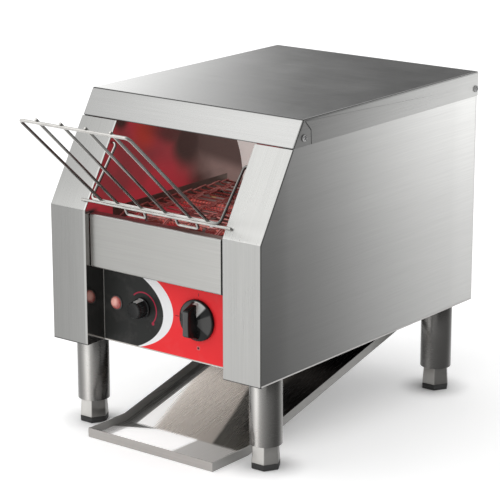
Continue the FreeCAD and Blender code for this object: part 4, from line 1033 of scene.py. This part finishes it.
class TOASTER_OT_drive(bpy.types.Operator):
    """Finishes of the shafts, sprockets, motor, switches and terminals"""

    bl_idname = "toaster.drive"
    bl_label = "Drive and wiring parts"

    def execute(self, context):
        dress(machined_steel("shaft_steel", (0.6, 0.6, 0.6)),
              "drive_shaft", "idler_shaft", "motor_shaft", "shaft_coupling", "drive_sprockets",
              "idler_sprockets", "power_spindle", "speed_spindle")
        dress(machined_steel("bolt_steel", (0.66, 0.66, 0.66)), "leg_bolts")
        dress(machined_steel("bush_bronze", (0.62, 0.42, 0.2), 0.32), "shaft_bushes")
        dress(moulded("motor_paint", (0.2, 0.21, 0.22), 0.38), "gear_motor")
        dress(moulded("switch_plastic", (0.04, 0.04, 0.042), 0.45), "power_switch", "speed_control")
        dress(moulded("terminal_plastic", (0.78, 0.77, 0.7), 0.5), "terminal_block")
        dress(moulded("plug_plastic", (0.03, 0.03, 0.03), 0.5), "leg_plugs")
        dress(moulded("cap_ceramic", (0.78, 0.75, 0.68), 0.6, grain=300.0), "heater_end_caps")
        return {"FINISHED"}


class TOASTER_OT_heaters(bpy.types.Operator):
    """Round quartz heater tubes"""

    bl_idname = "toaster.heaters"
    bl_label = "Heaters"

    def execute(self, context):
        quartz = glowing_quartz("hot_quartz", tuple(settings().colours.glow), 0.3)
        rows = {"upper": (100.0, 144.0, 188.0), "lower": (95.0, 170.0)}
        for row, places in rows.items():
            low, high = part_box(row + "_heaters")
            end = (high.x - low.x) / MM
            r = (high.z - low.z) / 2 / MM
            outline = [(0, 0), (0, r - 0.8), (0.6, r), (end / 2 - 2.0, r), (end / 2, r - 0.4), (end / 2 + 2.0, r),
                       (end - 0.6, r), (end, r - 0.8), (end, 0)]
            bm = bmesh.new()
            for back in places:
                turned(bm, outline, Vector((low.x, FRONT + back * MM, (low.z + high.z) / 2)), (1, 0, 0), 32)
            finished(row + "_heater_tubes", bm, quartz, "casing", "heater_quartz", row + "_heaters")
        return {"FINISHED"}


class TOASTER_OT_belt(bpy.types.Operator):
    """Wire belt: strands with turned ends and loops over the next strand, all round the two axles"""

    bl_idname = "toaster.belt"
    bl_label = "Wire belt"

    def strand(self, shift):
        """One strand about its own place, with Y towards the next strand and Z outwards."""
        sizes = settings().belt
        over, ahead = 1.95, sizes.pitch + 1.95
        edge = 78.6 - (shift + 2.7) * 0.5
        points = [(-edge, ahead, -0.4), (-edge, ahead, over), (-edge, 0.3, over * 0.6), (-edge + 2.2, 0, 0)]
        for place in (-56.0, -16.0, 16.0, 56.0):
            x = place + shift
            points += [(x - 3.2, 0, 0), (x - 1.6, 0.6, 0.9), (x - 1.6, ahead, over),
                       (x + 1.6, ahead, over), (x + 1.6, 0.6, 0.9), (x + 3.2, 0, 0)]
        points += [(edge - 2.2, 0, 0), (edge, 0.3, over * 0.6), (edge, ahead, over), (edge, ahead, -0.4)]
        bm = bmesh.new()
        wire(bm, bent_line([Vector(p) * MM for p in points], 1.4, 2), sizes.wire, 8, False)
        return bm

    def places(self):
        """Where each strand lies, as (behind the body's front face, up) in millimetres."""
        sizes = settings().belt
        reach = sizes.pitch / (2 * math.sin(math.pi / sizes.teeth))
        height = centre("drive_shaft").z / MM
        front = (centre("idler_shaft").y - FRONT) / MM
        back = front + sizes.spans * sizes.pitch
        arc = [math.pi / 2 - k * math.tau / sizes.teeth for k in range(sizes.teeth // 2)]
        places = [(front + k * sizes.pitch, height + reach) for k in range(sizes.spans)]
        places += [(back + reach * math.cos(a), height + reach * math.sin(a)) for a in arc]
        places += [(back - k * sizes.pitch, height - reach) for k in range(sizes.spans)]
        return places + [(front - reach * math.cos(a), height - reach * math.sin(a)) for a in arc]

    def execute(self, context):
        places = self.places()
        moves = []
        for (y, z), (next_y, next_z) in zip(places, places[1:] + places[:1]):
            lean = Matrix.Rotation(math.atan2(next_z - z, next_y - y), 4, "X")
            moves.append(Matrix.Translation(at(0, y, z)) @ lean)
        bm = bmesh.new()
        for odd, shift in enumerate((-2.7, 2.7)):
            copies(bm, self.strand(shift), *moves[odd::2])
        steel = belt_steel("belt_steel", (0.46, 0.14, 0.13))
        finished("wire_belt", bm, steel, "casing", "belt_wire", "conveyor_belt", sharp=60.0)
        return {"FINISHED"}


class TOASTER_OT_rack(bpy.types.Operator):
    """Feed rack of round bent wire"""

    bl_idname = "toaster.rack"
    bl_label = "Feed rack"

    def execute(self, context):
        sizes = settings().rack
        pin, rod, top = (46.468, 322.142), (4.06, 268.67), (-119.0, 377.9)
        run = Vector(top) - Vector(rod)
        end = run.length
        run.normalize()

        def up_rack(x, along, above=0.0):
            return at(x, rod[0] + along * run.x + above * run.y, rod[1] + along * run.y - above * run.x)

        right = [at(88.5, *rod), at(88.5, *pin), at(104.0, *pin)]
        left = [Vector((-p.x, p.y, p.z)) for p in reversed(right)]
        frame_line = [up_rack(-73.5, 1.4), up_rack(-73.5, end), up_rack(73.5, end), up_rack(73.5, 1.4)]
        above = sizes.wire + sizes.inner - 1.0
        inner = [[up_rack(x, 1.4), up_rack(x, end * 0.5, above * 0.5), up_rack(x, end + 3.0, above)]
                 for x in (-50.0, -16.7, 16.7, 50.0)]
        staples = [[at(a, 4.8, 264.6), at(a, 8.27, 257.53), at(b, 8.27, 257.53), at(b, 4.8, 264.6)]
                   for a, b in ((-41.0, -14.5), (29.0, 57.0))]
        rod_line = [at(x, 4.27, 265.73) for x in (-103.3, 0, 103.3)]
        chrome = bright_wire("rack_chrome", (0.5, 0.49, 0.47), 0.13)
        # The hanger takes painted shade by the right post.
        shaded_chrome = bright_wire("hanger_chrome", (0.5, 0.49, 0.47), 0.13, 0.4)
        pieces = (
            ("hanger_wire", "rack_hanger", shaded_chrome, [bent_line(left + right, sizes.bend)], sizes.wire),
            ("frame_wire", "rack_frame", chrome, [bent_line(frame_line, sizes.bend)], sizes.wire),
            ("inner_wires", "rack_wires", chrome, inner, sizes.inner),
            ("cross_wire", "rack_cross_rod", chrome, [rod_line], 1.6),
            ("staple_wires", "rack_staples", chrome, [bent_line(loop, 3.0) for loop in staples], 1.55),
        )
        for name, node, plating, lines, radius in pieces:
            bm = bmesh.new()
            for line in lines:
                wire(bm, line, radius, sizes.sides)
            finished(name, bm, plating, "feed_rack", "rack_wire", node)
        return {"FINISHED"}


class TOASTER_OT_power_knob(bpy.types.Operator):
    """Switch knob: sloped skirt with a waisted grip across it"""

    bl_idname = "toaster.power_knob"
    bl_label = "Switch knob"

    def grip(self, r, tall):
        """The bar across the knob, waisted, narrower and shorter in front."""
        bar = bmesh.new()
        bmesh.ops.create_cube(bar, size=1.0)
        bmesh.ops.scale(bar, verts=bar.verts, vec=(10.0 * MM, (tall - 1.0) * MM, 1.9 * r * MM))
        long_edges = [e for e in bar.edges if abs((e.verts[0].co - e.verts[1].co).z) > 1e-4]
        bmesh.ops.subdivide_edges(bar, edges=long_edges, cuts=11, use_grid_fill=True)
        reach = 0.95 * r * MM
        for v in bar.verts:
            share = v.co.z / reach
            v.co.x *= (0.88 + 0.12 * share * share) * (1.0 if v.co.y > 0 else 0.86)
            v.co.z *= 0.975 if v.co.y > 0 else 0.65

        def at_end(edge):
            a, b = (v.co.z for v in edge.verts)
            return min(abs(a), abs(b)) > reach * 0.6 and a * b > 0 and folded(edge, 34.4)

        softened(bar, 1.6, 4, at_end)
        softened(bar, 0.9, 3, lambda e: folded(e, 34.4))
        return bar

    def execute(self, context):
        sizes = settings().knobs
        middle = centre("power_knob")
        middle.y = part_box("power_knob")[1].y
        r = sizes.skirt
        skirt = [(0, 0), (0, r - 0.5), (0.5, r), (2.2, r), (3.0, r - 0.25), (3.5, r - 0.9), (4.4, r - 5.0),
                 (5.6, r - 10.0), (7.0, r - 15.5), (7.0, 0)]
        bm = bmesh.new()
        turned(bm, skirt, middle, (0, -1, 0), 96)
        forward = Vector((0, -(sizes.grip + 1.0) / 2 * MM, 0))
        copies(bm, self.grip(r, sizes.grip), Matrix.Translation(middle + forward))
        # Painted highlights round the knob and a painted sheen on the grip's front.
        painted_glints = ((50.0, 92.0, 0.5), (108.0, 165.0, 0.07), (-40.0, 25.0, 0.08))
        gloss = glossy_black("knob_gloss", middle, (6.0 * MM, 21.5 * MM), 7.2 * MM, painted_glints, 0.085)
        finished("switch_knob", bm, gloss, "power_control", "knob_plastic", "power_knob", sharp=40.0)
        return {"FINISHED"}


class TOASTER_OT_speed_knob(bpy.types.Operator):
    """Small fluted speed knob"""

    bl_idname = "toaster.speed_knob"
    bl_label = "Speed knob"

    def execute(self, context):
        sizes = settings().knobs
        low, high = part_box("speed_knob")
        middle = Vector(((low.x + high.x) / 2, high.y, (low.z + high.z) / 2))
        r, tall = sizes.speed, (high.y - low.y) / MM
        outline = [(0, 0), (0, r - 0.3), (0.3, r), (2.4, r), (2.7, r - 0.4), (3.0, r - 0.9), (tall - 1.2, r - 1.9),
                   (tall - 0.4, r - 2.3), (tall, r - 3.2), (tall - 0.5, r - 4.4), (tall - 0.5, 0)]
        bm = bmesh.new()
        turned(bm, outline, Vector((0, 0, 0)), (0, 0, 1), sizes.flutes * 6)
        for v in bm.verts:
            if v.co.z > 2.8 * MM and math.hypot(v.co.x, v.co.y) > (r - 3.5) * MM:
                dip = 1.0 - 0.035 * (1.0 + math.cos(math.atan2(v.co.y, v.co.x) * sizes.flutes))
                v.co.x *= dip
                v.co.y *= dip
        place = Matrix.Translation(middle) @ Vector((0, -1, 0)).to_track_quat("Z", "Y").to_matrix().to_4x4()
        bmesh.ops.transform(bm, matrix=place, verts=bm.verts)
        # Painted highlights round the knob and a faint painted sheen in front.
        painted_glints = ((68.0, 104.0, 0.4), (150.0, 215.0, 0.03))
        gloss = glossy_black("speed_gloss", middle, (8.4 * MM, 10.9 * MM), 13.0 * MM, painted_glints, 0.012)
        finished("speed_control_cap", bm, gloss, "speed_control_knob", "knob_plastic", "speed_knob", sharp=50.0)
        return {"FINISHED"}


class TOASTER_OT_lamp(bpy.types.Operator):
    """Round lamp with its rim and domed lens"""

    bl_idname = "toaster.lamp"
    bl_label = "Lamp"

    def execute(self, context):
        middle = centre("lamp_holder")
        middle.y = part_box("control_overlay")[0].y
        rim = [(-24.4, 0), (-24.4, 5.5), (0.0, 5.5), (0.0, 7.9), (0.2, 8.2), (0.9, 8.2), (1.4, 7.8), (1.5, 7.3),
               (1.2, 7.1), (0.75, 7.05), (0.75, 0)]
        lens = [(0.75, 0), (0.75, 6.95), (1.5, 6.95), (2.3, 6.7), (3.1, 5.9), (3.8, 4.7), (4.2, 3.2), (4.45, 1.5),
                (4.5, 0)]
        dark = moulded("lamp_rim_plastic", (0.05, 0.045, 0.045), 0.3, coat=0.4)
        finished("lamp_ring", turned(bmesh.new(), rim, middle, (0, -1, 0)), dark, "casing", "lamp_rim", "lamp_holder")
        amber = lamp_plastic("lamp_amber_plastic", tuple(settings().colours.lamp), middle)
        finished("lamp_dome", turned(bmesh.new(), lens, middle, (0, -1, 0)), amber, "casing", "lamp_amber", "lamp_lens")
        return {"FINISHED"}


class TOASTER_OT_legs(bpy.types.Operator):
    """Polished leg tubes"""

    bl_idname = "toaster.legs"
    bl_label = "Legs"

    def execute(self, context):
        sizes = settings().legs
        low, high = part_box("leg_tubes")
        r, inner = sizes.tube, sizes.tube - sizes.wall
        tall = (high.z - low.z) / MM
        outline = [(0.3, inner), (0.0, inner + 0.3), (0.0, r - 0.5), (0.15, r - 0.15), (0.5, r), (tall - 0.5, r),
                   (tall - 0.1, r - 0.2), (tall, r - 0.6), (tall, 4.1), (tall - 3.0, 4.1), (tall - 3.0, inner)]
        bm = bmesh.new()
        for x in (low.x + r * MM, high.x - r * MM):
            for y in (low.y + r * MM, high.y - r * MM):
                turned(bm, outline, Vector((x, y, low.z)), (0, 0, 1), sizes.facets, closed=True)
        finished("leg_columns", bm, leg_steel("leg_polish", (0.55, 0.54, 0.52)), "casing", "leg_steel", "leg_tubes")
        return {"FINISHED"}


class TOASTER_OT_feet(bpy.types.Operator):
    """Levelling feet with their threads and rubber pads"""

    bl_idname = "toaster.feet"
    bl_label = "Levelling feet"

    def hexagon(self, wide, narrow, tall, middle, rounding):
        """A six-sided post with its edges rounded."""
        bm = bmesh.new()
        bmesh.ops.create_cone(bm, cap_ends=True, segments=6, radius1=wide, radius2=narrow, depth=tall)
        bmesh.ops.rotate(bm, verts=bm.verts, matrix=Matrix.Rotation(math.pi / 6, 3, "Z"))
        softened(bm, 1.0, 3, lambda e: abs((e.verts[0].co - e.verts[1].co).z) > 1 * MM)
        softened(bm, rounding, 3, lambda e: folded(e, 57.3))
        bmesh.ops.translate(bm, verts=bm.verts, vec=middle)
        return bm

    def execute(self, context):
        metal = cast_metal("foot_satin", (0.5, 0.49, 0.47))
        rubber = moulded("pad_rubber", (0.018, 0.018, 0.018), 0.6, grain=400.0, strength=0.2)
        for corner in CORNERS:
            low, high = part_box("foot_" + corner)
            x, y = (low.x + high.x) / 2, (low.y + high.y) / 2
            wide = (high.x - low.x) / 2
            stud = high.z / MM - 26.7
            bm = self.hexagon(wide, wide * 26.6 / 29.0, 20.2 * MM, Vector((x, y, low.z + 10.1 * MM)), 0.8)
            thread = [(0, 4.2), (0, 5.0)]
            for k in range(int(stud / 1.5)):
                thread += [(0.3 + 1.5 * k, 5.0), (0.8 + 1.5 * k, 4.3), (1.2 + 1.5 * k, 4.3)]
            thread += [(stud - 0.6, 5.0), (stud, 4.3), (stud, 0)]
            turned(bm, thread, Vector((x, y, 26.7 * MM)), (0, 0, 1), 24)
            body = "level_foot_" + corner
            finished("levelling_" + corner, bm, metal, body, "foot_metal", "foot_" + corner, sharp=45.0)
            low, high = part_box("foot_pad_" + corner)
            bm = self.hexagon(wide, wide, high.z - low.z, Vector((x, y, (low.z + high.z) / 2)), 0.6)
            finished("rubber_" + corner, bm, rubber, body, "pad_rubber", "foot_pad_" + corner, sharp=45.0)
        return {"FINISHED"}


class TOASTER_OT_screws(bpy.types.Operator):
    """Pan-head screws with crossed slots"""

    bl_idname = "toaster.screws"
    bl_label = "Cover screws"

    def head(self):
        """One screw about its own place, with its head towards Z."""
        bm = bmesh.new()
        outline = [(-9.0, 0), (-9.0, 1.9), (0, 1.9), (0, 3.9), (0.25, 4.0), (0.9, 4.0), (1.5, 3.6), (1.95, 2.8),
                   (2.2, 1.6), (2.2, 0)]
        turned(bm, outline, Vector((0, 0, 0)), (0, 0, 1), 32)
        for across in (Vector((1, 0, 0)), Vector((0, 1, 0))):
            for side in (-0.45, 0.45):
                everything = bm.verts[:] + bm.edges[:] + bm.faces[:]
                bmesh.ops.bisect_plane(bm, geom=everything, plane_co=across * side * MM, plane_no=across)
        slot = []
        for face in bm.faces:
            middle = face.calc_center_median() / MM
            near, far = sorted((abs(middle.x), abs(middle.y)))
            if near < 0.44 and far < 2.2 and middle.z > 1.8:
                slot.append(face)
        grown = bmesh.ops.extrude_face_region(bm, geom=slot)["geom"]
        sunk = [g for g in grown if isinstance(g, bmesh.types.BMVert)]
        bmesh.ops.translate(bm, verts=sunk, vec=(0, 0, -1.0 * MM))
        bmesh.ops.delete(bm, geom=slot, context="FACES_ONLY")
        return bm

    def execute(self, context):
        low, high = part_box("cover_screws")
        moves = []
        for side in (-1, 1):
            for y in (low.y + 4 * MM, high.y - 4 * MM):
                turn = Vector((side, 0, 0)).to_track_quat("Z", "Y").to_matrix().to_4x4()
                turn = turn @ Matrix.Rotation(0.5 + side * 0.2 + y * 3, 4, "Z")
                moves.append(Matrix.Translation((side * HALF_WIDTH, y, (low.z + high.z) / 2)) @ turn)
        bm = bmesh.new()
        copies(bm, self.head(), *moves)
        steel = machined_steel("screw_steel", (0.3, 0.3, 0.3), 0.2)
        finished("pan_screws", bm, steel, "casing", "fasteners", "cover_screws")
        return {"FINISHED"}


class TOASTER_OT_gland(bpy.types.Operator):
    """Cable gland in the rear panel"""

    bl_idname = "toaster.gland"
    bl_label = "Cable gland"

    def execute(self, context):
        dress(moulded("gland_plastic", (0.03, 0.03, 0.03), 0.42), "cable_gland")
        return {"FINISHED"}


OPERATORS = (
    TOASTER_OT_stage,
    TOASTER_OT_casing,
    TOASTER_OT_chute,
    TOASTER_OT_film,
    TOASTER_OT_chamber,
    TOASTER_OT_drive,
    TOASTER_OT_heaters,
    TOASTER_OT_belt,
    TOASTER_OT_rack,
    TOASTER_OT_power_knob,
    TOASTER_OT_speed_knob,
    TOASTER_OT_lamp,
    TOASTER_OT_legs,
    TOASTER_OT_feet,
    TOASTER_OT_screws,
    TOASTER_OT_gland,
)


class TOASTER_PT_pieces(bpy.types.Panel):
    """Lists the toaster's pieces and their sizes"""

    bl_idname = "TOASTER_PT_pieces"
    bl_label = "Conveyor toaster"
    bl_space_type = "VIEW_3D"
    bl_region_type = "UI"
    bl_category = "Toaster"

    def draw(self, context):
        layout = self.layout
        for operator in OPERATORS:
            layout.operator(operator.bl_idname)
        for group in (settings().colours, settings().rack, settings().belt, settings().knobs, settings().legs):
            column = layout.column(align=True)
            for name in group.__annotations__:
                column.prop(group, name)


CLASSES = (
    ToasterColours,
    RackSizes,
    BeltSizes,
    KnobSizes,
    LegSizes,
    ToasterSettings,
    *OPERATORS,
    TOASTER_PT_pieces,
)


def register():
    for cls in CLASSES:
        bpy.utils.register_class(cls)
    bpy.types.Scene.toaster = PointerProperty(type=ToasterSettings)


def unregister():
    del bpy.types.Scene.toaster
    for cls in reversed(CLASSES):
        bpy.utils.unregister_class(cls)


def main():
    """Makes every piece in order."""
    register()
    for operator in OPERATORS:
        group, name = operator.bl_idname.split(".")
        getattr(getattr(bpy.ops, group), name)()


if __name__ == "__main__":
    main()
